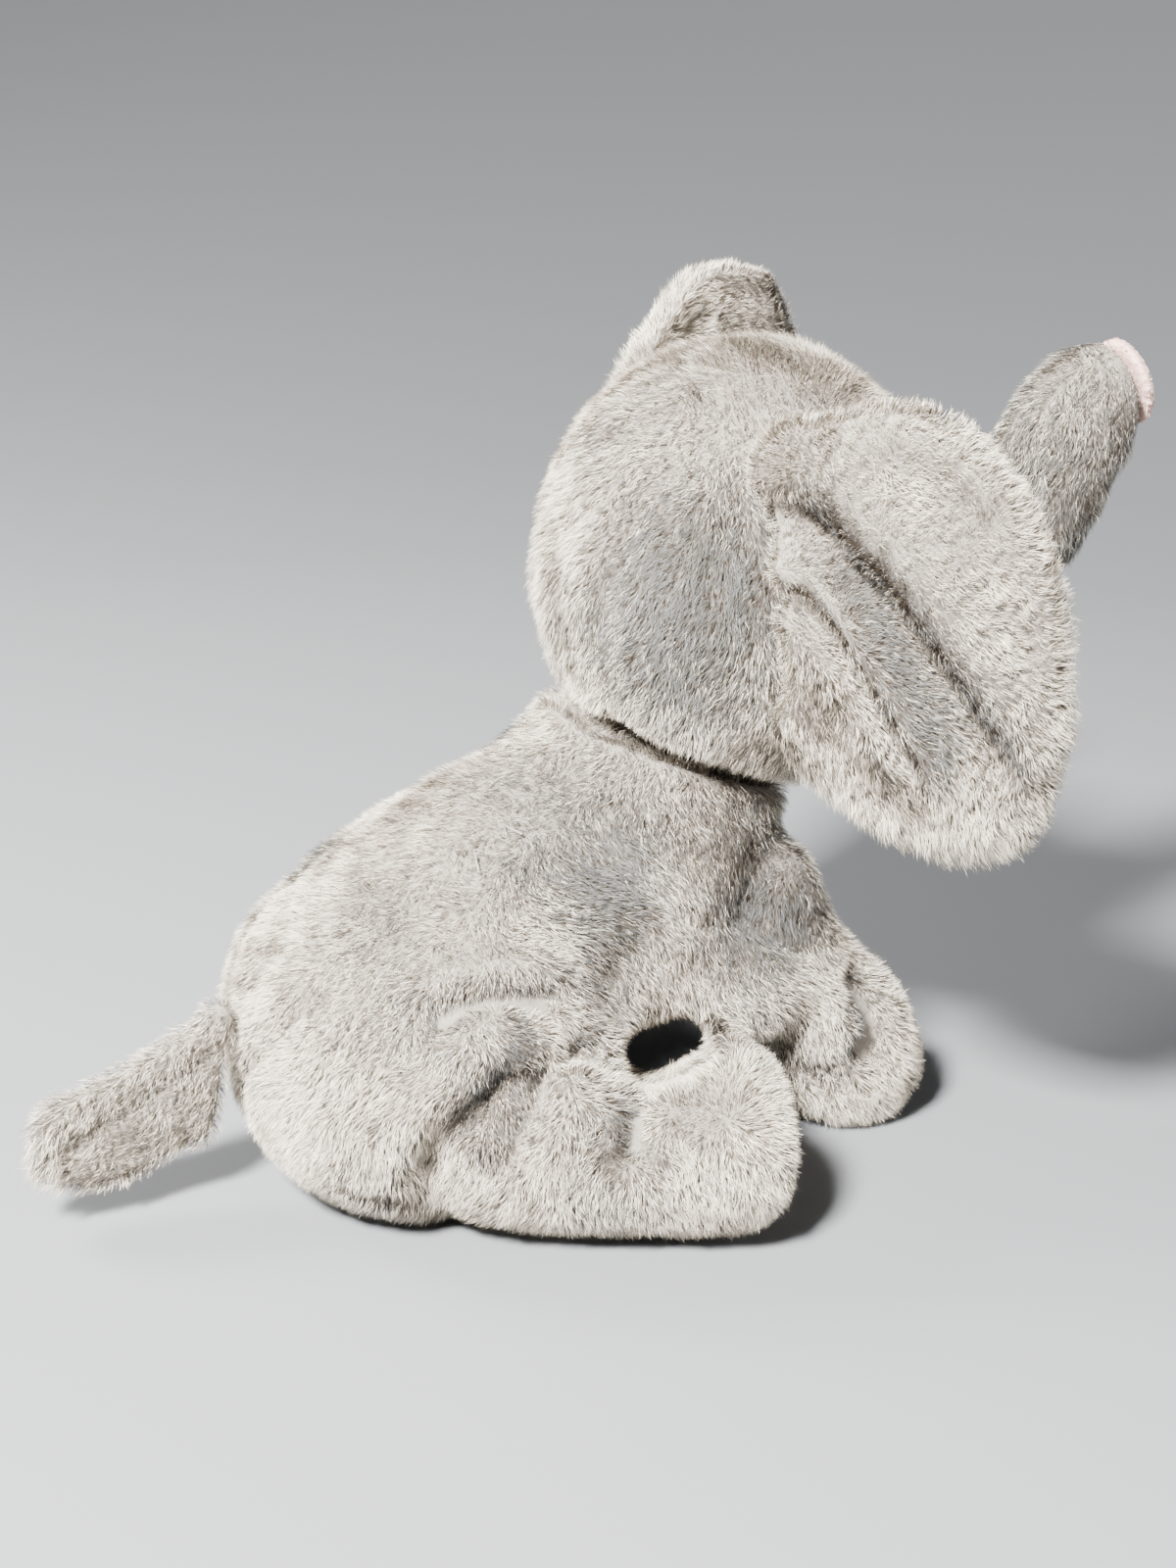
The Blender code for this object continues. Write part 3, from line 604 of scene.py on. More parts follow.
def limb_roots():
    """For each limb, the body it is sewn to and where its cloth starts and stops bending."""
    roots = {leg: leg_root(leg) for leg in LEGS}
    for side in HANDS:
        place, out, _, _ = ear_axes(side)
        roots[f"ear_{side}"] = ("head", tuple(place), tuple(place + out * LIMB_BEND))
    along = unit(unit(centre_of("trunk_filling") - TRUNK_PLACE) * np.array(TRUNK_LEVEL))
    roots["trunk"] = ("head", tuple(TRUNK_PLACE), tuple(TRUNK_PLACE + along * LIMB_BEND))
    roots["tail"] = ("torso", tuple(TAIL_PLACE), tuple(TAIL_PLACE + np.array(TAIL_BEND)))
    return roots


ROOTS = limb_roots()


def ellipsoid(centre, radii, along=(1, 0, 0), tilt=0.0):
    """A hidden helper with its first radius along a direction and its second tilted off level."""
    along = unit(np.array(along, float))
    level = unit(np.cross(UP, along))
    level = level * math.cos(tilt) + np.cross(along, level) * math.sin(tilt)
    rise = np.cross(along, level)
    bpy.ops.mesh.primitive_ico_sphere_add(subdivisions=4, radius=1)
    helper = bpy.context.object
    matrix = Matrix(np.column_stack([along, level, rise]).tolist()).to_4x4()
    matrix = matrix @ Matrix.Diagonal((*radii, 1))
    matrix.translation = Vector(centre)
    helper.matrix_world = matrix
    helper.hide_render = True
    return helper


def body_solid(body, cutters=(), fillers=()):
    """The cloth and filling of a body as one solid, with fillers added and cutters removed."""
    solids = [joined_nodes(cloth_nodes(body))]
    for filler in fillers:
        points, faces = mesh_arrays(filler.data)
        matrix = np.array(filler.matrix_world)
        solids.append((points @ matrix[:3, :3].T + matrix[:3, 3], faces))
    points, quads = together(solids)
    if cutters:
        points, quads = remeshed(points, quads, cutters=cutters)
    return points, quads


def together(solids):
    """Solids that overlap, each given as points and faces, as one even mesh."""
    points, faces, start = [], [], 0
    for some_points, some_faces in solids:
        points.append(some_points)
        faces.append(some_faces + start)
        start += len(some_points)
    return remeshed(np.vstack(points), np.vstack(faces))


def owners_of(points, bodies):
    """The number of the nearest body to each point."""
    away = np.stack([nearest(tree_of(*joined_nodes(cloth_nodes(body))), points)[1]
                     for body in bodies])
    return away.argmin(axis=0)


def seam_distance(points, names, within=0.009):
    """How far each point is from the line where two of these panels meet."""
    away = np.stack([nearest(tree_of(*joined_nodes([name])), points)[1] for name in names])
    away.sort(axis=0)
    return np.where(away[0] < within, (away[1] - away[0]) / 2, 1.0)


def sew(skin, names, depth, width=0.0035):
    """A seam: a slight groove with painted shade, the pile parted and shorter along it."""
    line = np.exp(-((seam_distance(skin.points, names) / width) ** 2))
    skin.push(-depth * line)
    skin.length *= 1 - 0.35 * line
    skin.painted_shade = np.maximum(skin.painted_shade, 0.35 * line)


def lean_on(skin, names, amount):
    """Fills the neck's cloth out sideways near the neighbour that it is sewn to."""
    _, away = nearest(tree_of(*joined_nodes(names)), skin.points)
    axis = np.array(joints["head_turn"]["axis"], float)
    sideways = 1 - (skin.normals @ axis) ** 2
    skin.push(amount * (1 - ramp(away, 0.004, 0.018)) * sideways)


def finish_piece(obj, body):
    """Puts a piece on its body. A limb's piece stays in the part's frame, attached to no body."""
    if body in ROOTS:
        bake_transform(obj)
    else:
        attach(obj, body)


def add_skin(name, skin, body, replaced):
    """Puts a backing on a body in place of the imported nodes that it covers."""
    obj = new_object(name, skin.points, skin.quads)
    obj.data.shade_smooth()
    obj.data.materials.append(BACKING)
    finish_piece(obj, body)
    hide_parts(*replaced)


# Tones of the fur run from 0, dark, to 1, light.
TONE = 0.86
BROAD_WAVE = 0.070
BROAD_TONE = 0.06
PATCH_WAVE = 0.026
PATCH_TONE = 0.10
FINE_WAVE = 0.008
FINE_TONE = 0.10
# Painted shade: how far the tone drops where the nap lies flat and in folds.
FLAT_DARKENS = 0.35
FOLD_DARKENS = 0.80
STRAY_TONE = 0.32  # from blade to blade
BASE_DARKER = 4  # steps from a blade's tip to its base
# Cool tones are painted shade where the nap lies flat, with a few at random elsewhere.
COOL_SHARE = 0.06  # of the blades where the nap stands up
COOL_FLAT = 1.10  # added to that where it lies flat
COOL_PATCHES = 0.05


def tones(pile, seed):
    """The look of each blade's tip and base: patches, and painted shade, darker and cooler where
    the nap lies flat, browner and darker in folds.
    """
    source = np.random.default_rng(seed + 11)
    root = pile.blades[:, 0]
    broad, _ = waves(root, BROAD_WAVE, 21)
    patches, _ = waves(root, PATCH_WAVE, 23)
    fine, _ = waves(root, FINE_WAVE, 22)
    tone = TONE + BROAD_TONE * broad + PATCH_TONE * patches + FINE_TONE * fine
    tone = tone - FLAT_DARKENS * pile.flat - FOLD_DARKENS * pile.painted_shade
    tone += source.normal(0, STRAY_TONE, len(root))
    step = np.clip(np.rint(tone * (WARM_COUNT - 1)), 1, WARM_COUNT - 1).astype(int)
    base = np.maximum(step - BASE_DARKER, 0)
    # More painted shade where the nap lies flat: there blades get the darkest base.
    base = np.where(source.random(len(root)) < pile.flat, 0, base)
    cool_share = COOL_FLAT * pile.flat + COOL_SHARE + COOL_PATCHES * patches
    cool = source.random(len(root)) < cool_share
    cool_step = WARM_COUNT + np.clip(np.rint(tone * COOL_COUNT), 0, COOL_COUNT - 1).astype(int)
    return np.where(cool, cool_step, step), base


def add_pile(name, pile, body, seed=0):
    """Pile in pieces of a limited size."""
    tip, base = tones(pile, seed)
    for part, start in enumerate(range(0, len(pile.blades), MOST_BLADES)):
        some = slice(start, start + MOST_BLADES)
        obj = blade_object(f"{name}_{part}", pile.blades[some], FUR_LOOKS, tip[some], base[some])
        finish_piece(obj, body)


def snapped(skin, tree, within=0.014):
    """Draws what is near the joined-up surface onto it, so that two skins meet smoothly."""
    places, away = nearest(tree, skin.points)
    share = 1 - ramp(away, within * 0.75, within)
    skin.points = skin.points + (places - skin.points) * share[:, None]
    skin.refresh()
    return skin


def clothe(bodies, cutters, fillers, shape, seed):
    """Skins of bodies that run into one another, and the pile that covers them all."""
    solids = {body: body_solid(body, cutters.get(body, ()), fillers.get(body, ()))
              for body in bodies}
    skin = skin_of_solid(*together(solids.values()), rounds=12, bridge=BRIDGE)
    shape(skin)
    tree = tree_of(skin.points, skin.quads)
    for body in bodies:
        own = snapped(skin_of_solid(*solids[body]), tree)
        add_skin(f"{body}_skin", own, body, cloth_nodes(body))
    pile = grow(skin, owners_of(skin.points, bodies), seed=seed)
    for number, body in enumerate(bodies):
        add_pile(f"{body}_pile", pile.part(pile.owner == number), body, seed)


SWIRL_FLAT = 0.16  # how much flatter the nap lies here and there
NECK_FILL = 0.0032  # how far the cloth at the neck is filled out
BODY_SEAM = 0.0022  # depth
HEAD_SEAM = 0.0008
BULGE_HEIGHT = 0.0028
BULGE_RADIUS = 0.018
HOLLOW_DEPTH = 0.0095
HOLLOW_RADIUS = 0.021
SOLE_PILE = 0.75  # share of the pile's length at the edge of the sole
FLOOR_SHORTER = 0.9  # share of its length that the pile loses where it stands on the floor

# Torso and legs. ARCH and PUCKER are in the part's frame. The other places are offsets
# (forward, outward, up) from the hip or the shoulder, the joints of a hind and a front leg.

ARCH = ((0.106, 0.0, 0.036), (0.046, 0.072, 0.043))  # centre and radii; lifts the belly
PUCKER = ((0.036, -0.012, 0.148), (0.044, -0.010, 0.151), (0.052, -0.0085, 0.154))

# From the hip.
TUNNEL = (0.0585, 0.0200, 0.0272)  # opening between the thigh, the belly and the front leg
TUNNEL_RADII = (0.080, 0.0205, 0.0112)
TUNNEL_TILT = math.radians(20)
TUNNEL_ALONG = (0.382, -0.859, -0.342)  # on the right; the left one mirrors it
THIGH_CREASE = ((-0.032, 0.008, 0.047), (-0.014, 0.011, 0.055), (0.009, 0.016, 0.055),
                (0.020, 0.017, 0.050))
KNEE_FOLD = ((0.012, 0.021, 0.047), (-0.001, 0.022, 0.036), (-0.010, 0.019, 0.023),
             (-0.019, 0.018, 0.005))
KNEE_FOLD_2 = ((0.017, 0.019, 0.036), (0.007, 0.027, 0.025), (-0.003, 0.029, 0.012),
               (-0.007, 0.029, -0.005))
FOOT_CREASE = ((0.042, 0.034, 0.030), (0.037, 0.043, 0.020), (0.034, 0.047, 0.011),
               (0.032, 0.048, 0.000))
BELLY_FOLD = ((0.015, 0.016, 0.036), (0.029, 0.022, 0.033), (0.040, 0.030, 0.031))
BASE_SEAM = ((-0.062, -0.010, -0.018), (-0.045, 0.001, -0.019), (-0.036, 0.006, -0.020))
FOOT_WHORL = (0.065, 0.056, 0.018)
LOW_WHORL = (0.032, 0.048, 0.002)
THIGH_BULGE = (-0.008, 0.017, 0.045)
FLANK_HOLLOW = (0.051, 0.010, 0.056)
ABOVE_FOLD = (0.0395, 0.006, 0.061)
FLANK = (0.040, 0.010, 0.066)
FOOT_DISH = (0.030, 0.044, 0.018)
FLANK_PATCH = (0.044, -0.011, 0.094)
RUMP_PATCH = (-0.030, -0.004, 0.060)

# From the shoulder.
ARMPIT = (-0.020, 0.020, -0.028)  # cloth that joins the belly to the front leg
ARMPIT_RADII = (0.034, 0.016, 0.026)
ANKLE_FOLD = ((0.027, 0.022, -0.024), (0.040, 0.021, -0.038), (0.045, 0.025, -0.051),
              (0.040, 0.029, -0.061), (0.030, 0.030, -0.072))
PLEATS = (
    ((0.008, 0.024, -0.064), (0.020, 0.025, -0.090)),
    ((0.019, 0.025, -0.062), (0.029, 0.029, -0.086)),
)
# Under the head and ear, where shade is painted into the pile.
UNDER_NECK = (-0.018, 0.026, 0.036)
CHEST = (-0.002, 0.024, 0.012)

# Folds: line, depth, width, height of the rolls beside it, and the way its lee side faces.
HIP_FOLDS = (
    (THIGH_CREASE, 0.0085, 0.0058, 0.0036, UP),
    (KNEE_FOLD, 0.0012, 0.0060, 0.0024, REAR),
    (KNEE_FOLD_2, 0.0080, 0.0058, 0.0036, REAR),
    (FOOT_CREASE, 0.0080, 0.0046, 0.0026, REAR),
    (BELLY_FOLD, 0.0075, 0.0050, 0.0026, UP),
    (BASE_SEAM, 0.0045, 0.0038, 0.0, None),
)
SHOULDER_FOLDS = (
    (ANKLE_FOLD, 0.0090, 0.0065, 0.0020, REAR),
    *((line, 0.0055, 0.0038, 0.0010, None) for line in PLEATS),
)

# Painted shade as in a fold, and patches of flat nap: place, radius and strength.
HIP_PAINTED_SHADES = ((FLANK_HOLLOW, 0.022, 0.80), (ABOVE_FOLD, 0.019, 0.65))
HIP_PATCHES = (
    (ABOVE_FOLD, 0.024, 0.45),
    (FOOT_DISH, 0.011, 0.90),
    (FLANK_PATCH, 0.036, 0.90),
    (RUMP_PATCH, 0.022, 0.50),
)

# The ways the nap lies.
NAP_BODY = (-0.55, 0.0, -0.80)
NAP_FLANK = (0.70, 0.0, -0.65)
NAP_LEG = (0.45, 0.1, -0.85)  # forward, outward, up


def shape_flank(skin, side, start_points):
    """Folds, bulges and nap of one side's flank and legs. The order of the steps matters."""
    hip, shoulder = f"hind_leg_{side}_spread", f"front_leg_{side}_raise"
    hand = HANDS[side]
    for joint, folds in ((hip, HIP_FOLDS), (shoulder, SHOULDER_FOLDS)):
        for line, depth, width, roll, lee in folds:
            skin.crease(by_joint(joint, side, line), depth, width, roll, lee)
    bulge = by_joint(hip, side, THIGH_BULGE)[0]
    hollow = by_joint(hip, side, FLANK_HOLLOW)[0]
    skin.push(BULGE_HEIGHT * skin.near(bulge, BULGE_RADIUS)
              - HOLLOW_DEPTH * skin.near(hollow, HOLLOW_RADIUS))
    for place, radius, amount in HIP_PAINTED_SHADES:
        skin.paint_shade(by_joint(hip, side, place)[0], radius, amount)
    for place, radius, amount in HIP_PATCHES:
        skin.flatten(by_joint(hip, side, place)[0], radius, amount)
    skin.brush(skin.near(by_joint(hip, side, FLANK)[0], 0.050), np.array(NAP_FLANK))
    leg = ramp(start_points[:, 0], 0.02, 0.06) * (1 - ramp(start_points[:, 2], 0.07, 0.09))
    leg *= start_points[:, 1] * hand > 0.03
    skin.brush(leg, np.array(NAP_LEG) * (1, hand, 1))
    skin.whorl(by_joint(hip, side, FOOT_WHORL)[0], 0.024)
    skin.whorl(by_joint(hip, side, LOW_WHORL)[0], 0.014)
    opening = by_joint(hip, side, TUNNEL)[0]
    skin.soften(skin.near(opening, 0.028), 24)
    # Painted shade inside the opening.
    skin.paint_shade(opening, 0.020, 0.40)
    skin.brush(0.9 * skin.near(opening, 0.024), opening - skin.points)
    # Painted shade under the head and ear.
    skin.paint_shade(by_joint(shoulder, side, UNDER_NECK)[0], 0.024, 0.80)
    skin.flatten(by_joint(shoulder, side, CHEST)[0], 0.034, 0.90)


def shape_lower(skin):
    """Seams, folds and nap of the torso and the legs."""
    points = skin.points
    sew(skin, ["back_gusset", "body_side_right", "body_side_left"], BODY_SEAM)
    lean_on(skin, ["head_gusset", "head_side_right", "head_side_left", "chin_panel"], NECK_FILL)
    skin.comb = np.tile(unit(np.array(NAP_BODY)), (len(points), 1))
    for side in HANDS:
        shape_flank(skin, side, points)
    skin.crease(PUCKER, 0.0040, 0.0022)
    swirl, _ = waves(points, 0.060, 5)
    skin.flat = np.clip(skin.flat + SWIRL_FLAT * swirl, 0, 1)
    sole = ramp(seam_distance(points, ["hind_leg_right_sole", "hind_leg_right_outer_panel"]),
                0.0, 0.003)
    skin.length *= SOLE_PILE + (1 - SOLE_PILE) * sole
    near_floor = 1 - ramp(points[:, 2], 0.002, 0.008)
    under = np.clip(-skin.normals[:, 2], 0, 1)
    skin.length *= 1 - FLOOR_SHORTER * near_floor * under


# Head and trunk.

EAR_ROOT = 0.056  # half the length of the ear's root
EAR_ROOT_FOLD = (0.0045, 0.0065)  # depth and width
CHEEK = (0.0935, 0.0650, 0.2300)  # the left one, a patch of flat nap, painted darker as shade
CHEEK_RADIUS = 0.044
NAP_HEAD = (-0.45, 0.0, -0.85)
NAP_TRUNK = (-0.35, 0.0, -0.75)


def shape_upper(skin):
    """Seams, folds and nap of the head and the trunk."""
    points = skin.points
    sew(skin, ["head_gusset", "head_side_right", "head_side_left"], HEAD_SEAM)
    lean_on(skin, ["back_gusset", "body_side_right", "body_side_left", "belly_panel"], NECK_FILL)
    trunk = ramp((points - TRUNK_PLACE)[:, 0], -0.01, 0.02)
    skin.comb = np.tile(unit(np.array(NAP_HEAD)), (len(points), 1))
    skin.brush(trunk, np.array(NAP_TRUNK))
    for hand in HANDS.values():
        skin.flatten(np.array(CHEEK) * (1, hand, 1), CHEEK_RADIUS, 0.95)
    swirl, _ = waves(points, 0.055, 6)
    skin.flat = np.clip(skin.flat + SWIRL_FLAT * swirl + 0.60 * trunk, 0, 1)
    for side in HANDS:
        hinge, _, root, _ = ear_axes(side)
        skin.crease([hinge + root * share * EAR_ROOT for share in (-1, 0, 1)], *EAR_ROOT_FOLD)
        away = np.linalg.norm(points - centre_of(f"eye_{side}"), axis=1)
        skin.length *= ramp(away, 0.005, 0.016) * 0.85 + 0.15
    pad = np.linalg.norm(points - centre_of("trunk_tip_pad"), axis=1)
    skin.length *= 0.22 + 0.78 * ramp(pad, 0.018, 0.026)


# Ears. A fold is its line, as (out, along the root) from the hinge, its depth and its width.

EAR_INWARD = 0.014  # how far the root goes into the head
EAR_TUCK = 0.010  # how far the root's two ends are drawn towards the face
EAR_FOLDS = {
    "right": (
        (((0.002, 0.040), (0.014, 0.030), (0.027, 0.020), (0.037, 0.008),
          (0.046, -0.005), (0.059, -0.028), (0.076, -0.056)), 0.012, 0.0085),
        (((0.006, 0.015), (0.015, 0.003), (0.023, -0.009), (0.033, -0.028),
          (0.042, -0.052)), 0.0065, 0.0042),
    ),
    "left": (
        (((0.050, 0.085), (0.057, 0.062), (0.060, 0.044), (0.055, 0.000)), 0.008, 0.008),
    ),
}
EAR_RIM = 0.0022  # height of the roll along the rim
EAR_ROLL = 0.0032  # height of the rolls beside a fold
EAR_MIDDLE = 0.42  # of the ear's reach, from the hinge
EAR_HALF_WIDTH = 0.60  # of the ear's reach
EAR_BEND = 0.010  # how far the ear's outline bends towards the face
EAR_RIPPLE = 0.0016  # height of ripples near the rim
EAR_THICK = (0.80, 1.1)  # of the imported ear's thickness, at the rim and added in the middle
PAINTED_SHADE_SHIFT = (-0.006, -0.004, 0)  # from a fold to the painted shade beside it, in brown pile
PAINTED_SHADE_WIDTH = 0.007
BAND_SHIFT = (0.009, 0.008, 0)  # from a fold to the flat nap on its other side, painted darker as shade
BAND_WIDTH = 0.0065


def fold_ear(skin, side, flat_points):
    """Paints shade into and beside an ear's folds, lays the nap flat on their other side, where
    it is painted darker as shade, and returns how far they lift the cloth.
    """
    lift = np.zeros(len(flat_points))
    for line, depth, width in EAR_FOLDS[side]:
        line = np.array([(u, v, 0) for u, v in line])
        away, share = distance_to_line(flat_points, line)
        fade = 1 - ramp(share, 0.85, 1.0)
        groove = np.exp(-((away / width) ** 2)) * fade
        sides = np.exp(-(((away - 2.4 * width) / (1.3 * width)) ** 2)) * fade
        lift += EAR_ROLL * sides - depth * groove
        skin.painted_shade = np.maximum(skin.painted_shade, 0.75 * groove)
        skin.length *= 1 - 0.35 * groove
        shade_away, _ = distance_to_line(flat_points, line[2:] + np.array(PAINTED_SHADE_SHIFT))
        skin.painted_shade = np.maximum(skin.painted_shade, 0.42 * np.exp(-((shade_away / PAINTED_SHADE_WIDTH) ** 2)))
        band, _ = distance_to_line(flat_points, line + np.array(BAND_SHIFT))
        skin.flat = np.maximum(skin.flat, 0.75 * np.exp(-((band / BAND_WIDTH) ** 2)) * fade)
    return lift


def shape_ear(skin, side):
    """Puffs, bends and folds an ear. Returns its points as (out, along the root, back)."""
    place, out, root, back = ear_axes(side)
    local = np.stack([(skin.points - place) @ axis for axis in (out, root, back)], axis=1)
    reach = local[:, 0].max()
    height = np.abs(local[:, 1]).max()
    rim = ((local[:, 0] - reach * EAR_MIDDLE) / (reach * EAR_HALF_WIDTH)) ** 2
    rim = rim + (local[:, 1] / height) ** 2
    puff = np.clip(1 - rim, 0, 1)
    local[:, 2] *= EAR_THICK[0] + EAR_THICK[1] * puff
    bend = EAR_BEND * (local[:, 0] / reach - 0.35) ** 2 + EAR_BEND * (local[:, 1] / height) ** 2
    flat_points = local * (1, 1, 0)
    lift = fold_ear(skin, side, flat_points)
    edge = np.exp(-(((rim - 0.80) / 0.14) ** 2))
    wave, _ = waves(flat_points, 0.034, 8)
    local[:, 2] += lift - bend + EAR_RIM * edge + EAR_RIPPLE * wave * (1 - puff)
    inward = 1 - ramp(local[:, 0], -0.004, 0.016)
    local[:, 0] -= EAR_INWARD * inward
    local[:, 2] -= EAR_TUCK * inward * ramp(np.abs(local[:, 1]) / height, 0.3, 0.9)
    skin.points = place + local[:, :1] * out + local[:, 1:2] * root + local[:, 2:] * back
    skin.refresh()
    return local


def make_ear(side):
    _, out, root, back = ear_axes(side)
    names = cloth_nodes(f"ear_{side}")
    points, quads = remeshed(*joined_nodes(names), 0.0020)
    skin = skin_of_solid(points, quads, rounds=8, depth=0.0)
    local = shape_ear(skin, side)
    add_skin(f"ear_{side}_skin", skin, f"ear_{side}", names)
    facing = skin.normals @ back
    upper = ramp(local[:, 1], -0.02, 0.03)
    skin.comb = np.tile(unit(0.8 * out - 0.6 * root), (len(local), 1))
    skin.brush(upper, 0.9 * out + 0.5 * root)
    low_edge = ramp(-local[:, 1], 0.045, 0.075)
    skin.length *= 0.78 + 0.22 * ramp(facing, -0.5, 0.2) + 0.45 * low_edge
    pile = grow(skin, clump=0.0013, wavelength=0.0060, seed=40 if side == "right" else 50)
    add_pile(f"ear_{side}_pile", pile, f"ear_{side}")


# Tail, pad, thread and eyes.

THREAD_DROP = 0.0036  # the stitches lie down between the roots of the pile
TAIL_SEAM = ((-0.064, 0, 0.062), (-0.092, 0, 0.046), (-0.118, 0, 0.034))
TAIL_SEAM_WIDTH = 0.0022
TAIL_SEAM_DEPTH = 0.0014
TAIL_DEEPER = 0.60  # share added to the tail's height at its root
TAIL_ROOT = 0.018  # length over which that fades out
TAIL_TIP = (0.052, 0.066)  # from the joint; the pile grows longer over this
NAP_TAIL = (-0.9, 0.0, -0.50)


def make_tail():
    names = cloth_nodes("tail")
    points, quads = remeshed(*joined_nodes(names), 0.0018)
    skin = skin_of_solid(points, quads, rounds=6, depth=0.0)
    skin.push(0.0004)
    along = TAIL_PLACE[0] - skin.points[:, 0]
    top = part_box("tail_right_panel")[1].z
    drop = top - skin.points[:, 2]
    skin.points[:, 2] = top - drop * (1 + TAIL_DEEPER * (1 - ramp(along, 0.0, TAIL_ROOT)))
    seam, _ = distance_to_line(skin.points * (1, 0, 1), TAIL_SEAM)
    parting = np.exp(-((seam / TAIL_SEAM_WIDTH) ** 2))
    skin.refresh()
    skin.push(-TAIL_SEAM_DEPTH * parting)
    # Painted shade along the parted seam.
    skin.painted_shade = 0.5 * parting
    skin.comb = np.tile(unit(np.array(NAP_TAIL)), (len(skin.points), 1))
    end = ramp(along, *TAIL_TIP)
    edge = np.abs(skin.normals[:, 1]) < 0.6
    skin.length = (0.72 + 0.55 * end + 0.25 * edge) * (1 - 0.4 * parting)
    skin.flat = 0.05 * np.ones(len(skin.points))
    add_skin("tail_skin", skin, "tail", names)
    add_pile("tail_pile", grow(skin, lean=(36, 62), per_m2=2.0e6, seed=60), "tail")


def make_trunk_pad():
    points, quads = remeshed(*joined_nodes(["trunk_tip_pad"]), 0.0011)
    skin = Skin(smoothed(points, quads, 6), quads)
    skin.push(0.0009)
    obj = new_object("trunk_pad", skin.points, skin.quads)
    obj.data.shade_smooth()
    obj.data.materials.append(PINK_CLOTH)
    finish_piece(obj, "trunk")
    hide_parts("trunk_tip_pad")
    skin.length *= 0.13
    pile = grow(skin, per_m2=4e6, lean=(10, 30), clump=0.0002, width=0.0002, seed=70)
    chance = np.random.default_rng(7)
    tip = chance.integers(1, len(PINK_LOOKS), len(pile.blades))
    velour = blade_object("trunk_pad_pile", pile.blades, PINK_LOOKS, tip, tip - 1)
    finish_piece(velour, "trunk")


def make_stitch():
    points, faces = joined_nodes(["closing_stitch"])
    thread = new_object("closing_thread", points - UP * THREAD_DROP, faces)
    thread.data.materials.append(THREAD)
    finish_piece(thread, "torso")
    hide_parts("closing_stitch")


def make_eyes():
    for side in HANDS:
        eye = nodes[f"eye_{side}"]
        eye.data.materials.clear()
        eye.data.materials.append(EYE_LOOK)
        washer = nodes[f"eye_washer_{side}"]
        washer.data.materials.clear()
        washer.data.materials.append(WASHER_LOOK)


# Stage.

CAMERA_AZIMUTH = math.radians(-24)
CAMERA_ELEVATION = math.radians(20)
CAMERA_TARGET = (0.070, -0.040, 0.157)
CAMERA_AWAY = 0.775
LENS = 49.5  # mm, on a 36 mm sensor
LIGHT_TARGET = (0.05, 0, 0.14)
LIGHTS = (  # name, place, size and watts
    ("key", (-0.80, -0.70, 1.30), 0.26, 320),
    ("fill", (1.1, -1.2, 0.7), 0.9, 10),
    ("rim", (-0.9, 0.9, 1.1), 0.6, 80),
)


def make_backdrop():
    """A pale round floor that curves up into a wall on every side."""
    flat, bend, top, sides = 1.0, 2.5, 4.5, 64
    profile = [(flat, 0.0)]
    profile += [(flat + bend * math.sin(turn), bend * (1 - math.cos(turn)))
                for turn in np.linspace(0, math.pi / 2, 16)[1:]]
    profile.append((flat + bend, top))
    angles = [2 * math.pi * k / sides for k in range(sides)]
    points = [(radius * math.cos(angle), radius * math.sin(angle), height - 0.0005)
              for radius, height in profile for angle in angles]
    faces = [(ring * sides + k, (ring + 1) * sides + k,
              (ring + 1) * sides + (k + 1) % sides, ring * sides + (k + 1) % sides)
             for ring in range(len(profile) - 1) for k in range(sides)]
    mesh = bpy.data.meshes.new("backdrop")
    mesh.from_pydata(points, [], [tuple(range(sides)), *faces])
    mesh.shade_smooth()
    mesh.materials.append(principled("floor_pale", (0.15, 0.153, 0.157), 0.8))
    backdrop = bpy.data.objects.new("backdrop", mesh)
    bpy.context.scene.collection.objects.link(backdrop)


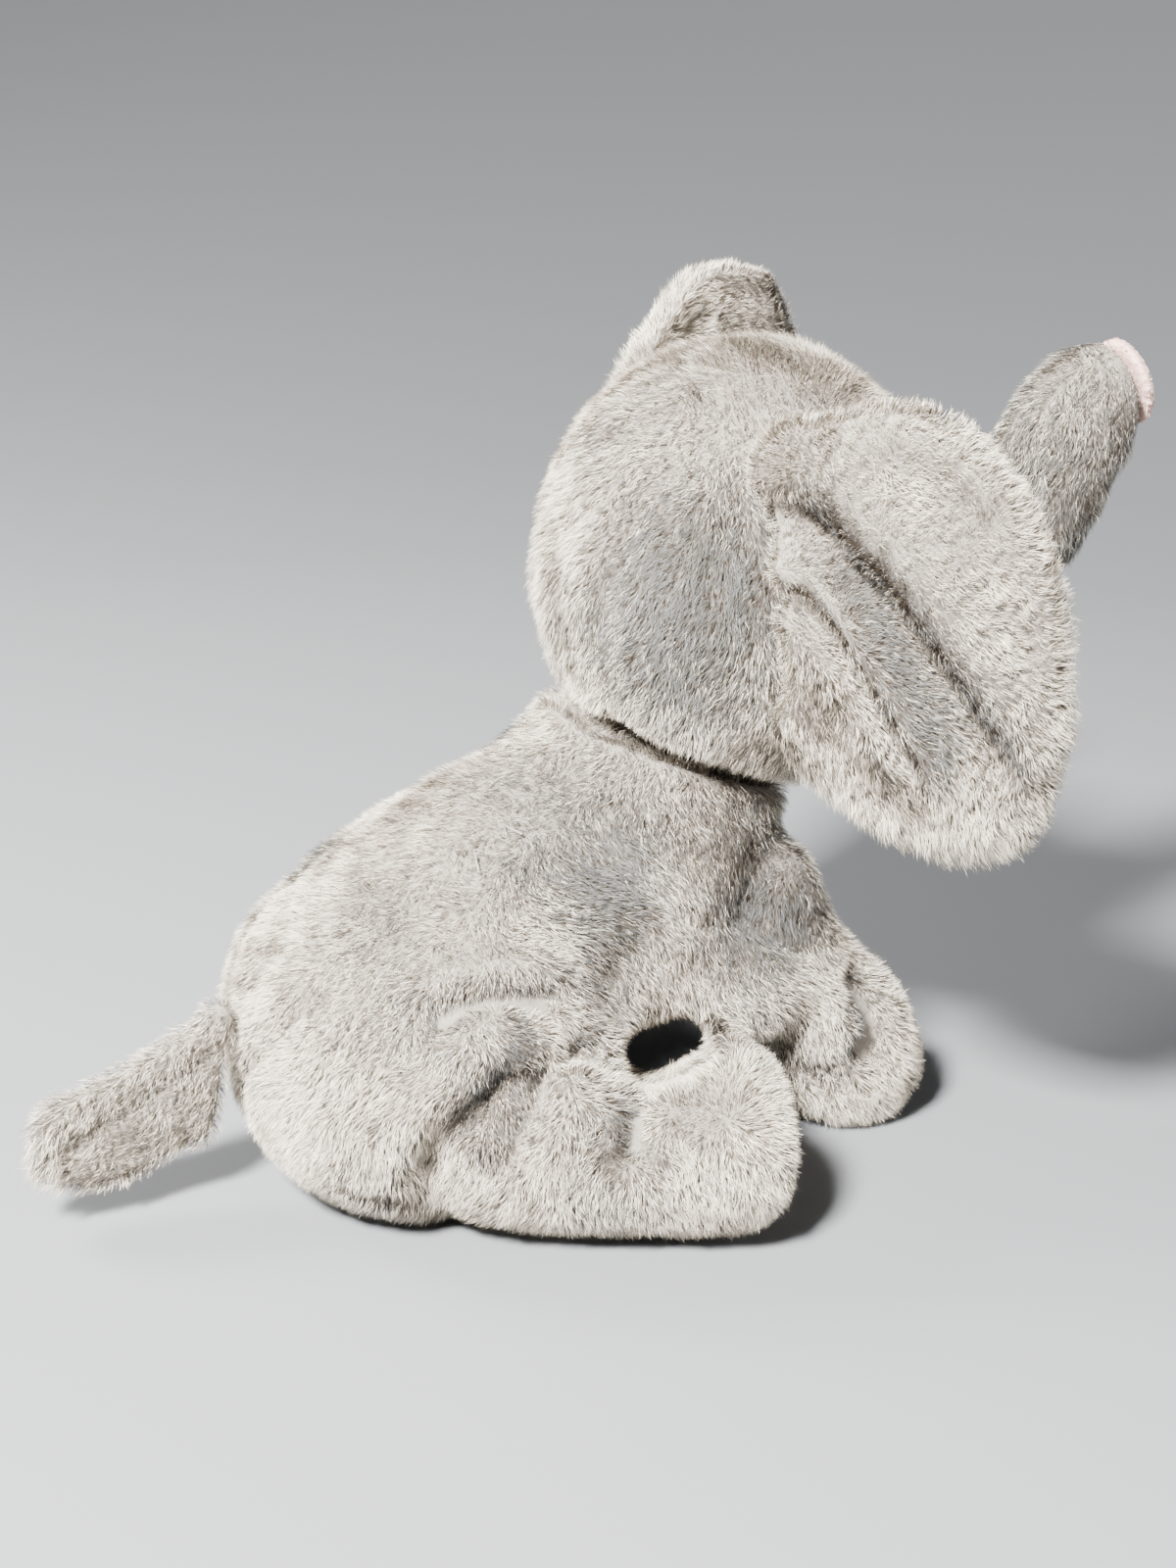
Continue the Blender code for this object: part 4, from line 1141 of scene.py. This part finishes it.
def make_stage():
    make_backdrop()
    world = bpy.data.worlds.new("studio")
    world.use_nodes = True
    background = world.node_tree.nodes["Background"]
    background.inputs["Color"].default_value = (0.88, 0.89, 0.90, 1)
    background.inputs["Strength"].default_value = 0.18
    bpy.context.scene.world = world
    for name, place, size, watts in LIGHTS:
        light = bpy.data.lights.new(name, "AREA")
        light.size = size
        light.energy = watts
        lamp = bpy.data.objects.new(name, light)
        lamp.location = place
        aim = Vector(LIGHT_TARGET) - Vector(place)
        lamp.rotation_euler = aim.to_track_quat("-Z", "Y").to_euler()
        bpy.context.scene.collection.objects.link(lamp)


def make_camera():
    """Seen from behind the elephant's right side, a little above."""
    level = math.cos(CAMERA_ELEVATION)
    back = Vector((math.sin(CAMERA_AZIMUTH) * level, -math.cos(CAMERA_AZIMUTH) * level,
                   math.sin(CAMERA_ELEVATION)))
    data = bpy.data.cameras.new("camera")
    data.lens = LENS
    data.sensor_width = 36
    camera = bpy.data.objects.new("camera", data)
    camera.location = Vector(CAMERA_TARGET) + back * CAMERA_AWAY
    camera.rotation_euler = (-back).to_track_quat("-Z", "Y").to_euler()
    bpy.context.scene.collection.objects.link(camera)
    bpy.context.scene.camera = camera


def clothe_torso_and_legs():
    """The torso and legs, with the belly arched and an opening cut in front of each thigh."""
    cutters = {"torso": [ellipsoid(*ARCH)]}
    for side, hand in HANDS.items():
        centre = by_joint(f"hind_leg_{side}_spread", side, TUNNEL)[0]
        along = np.array(TUNNEL_ALONG) * (1, hand, 1)
        tunnel = ellipsoid(centre, TUNNEL_RADII, along, TUNNEL_TILT * hand)
        cutters["torso"].append(tunnel)
        cutters[f"hind_leg_{side}"] = [tunnel]
    fillers = {"torso": [ellipsoid(by_joint(f"front_leg_{side}_raise", side, ARMPIT)[0],
                                   ARMPIT_RADII) for side in HANDS]}
    bpy.context.view_layer.update()
    clothe(["torso", *LEGS], cutters, fillers, shape_lower, 10)
    for helper in cutters["torso"] + fillers["torso"]:
        bpy.data.objects.remove(helper)


def main():
    for start_object in list(bpy.data.objects):
        if start_object.name in ("Cube", "Camera", "Light"):
            bpy.data.objects.remove(start_object)
    make_camera()
    make_stage()
    clothe_torso_and_legs()
    clothe(["head", "trunk"], {}, {}, shape_upper, 30)
    for side in HANDS:
        make_ear(side)
    make_tail()
    make_trunk_pad()
    make_stitch()
    make_eyes()


main()
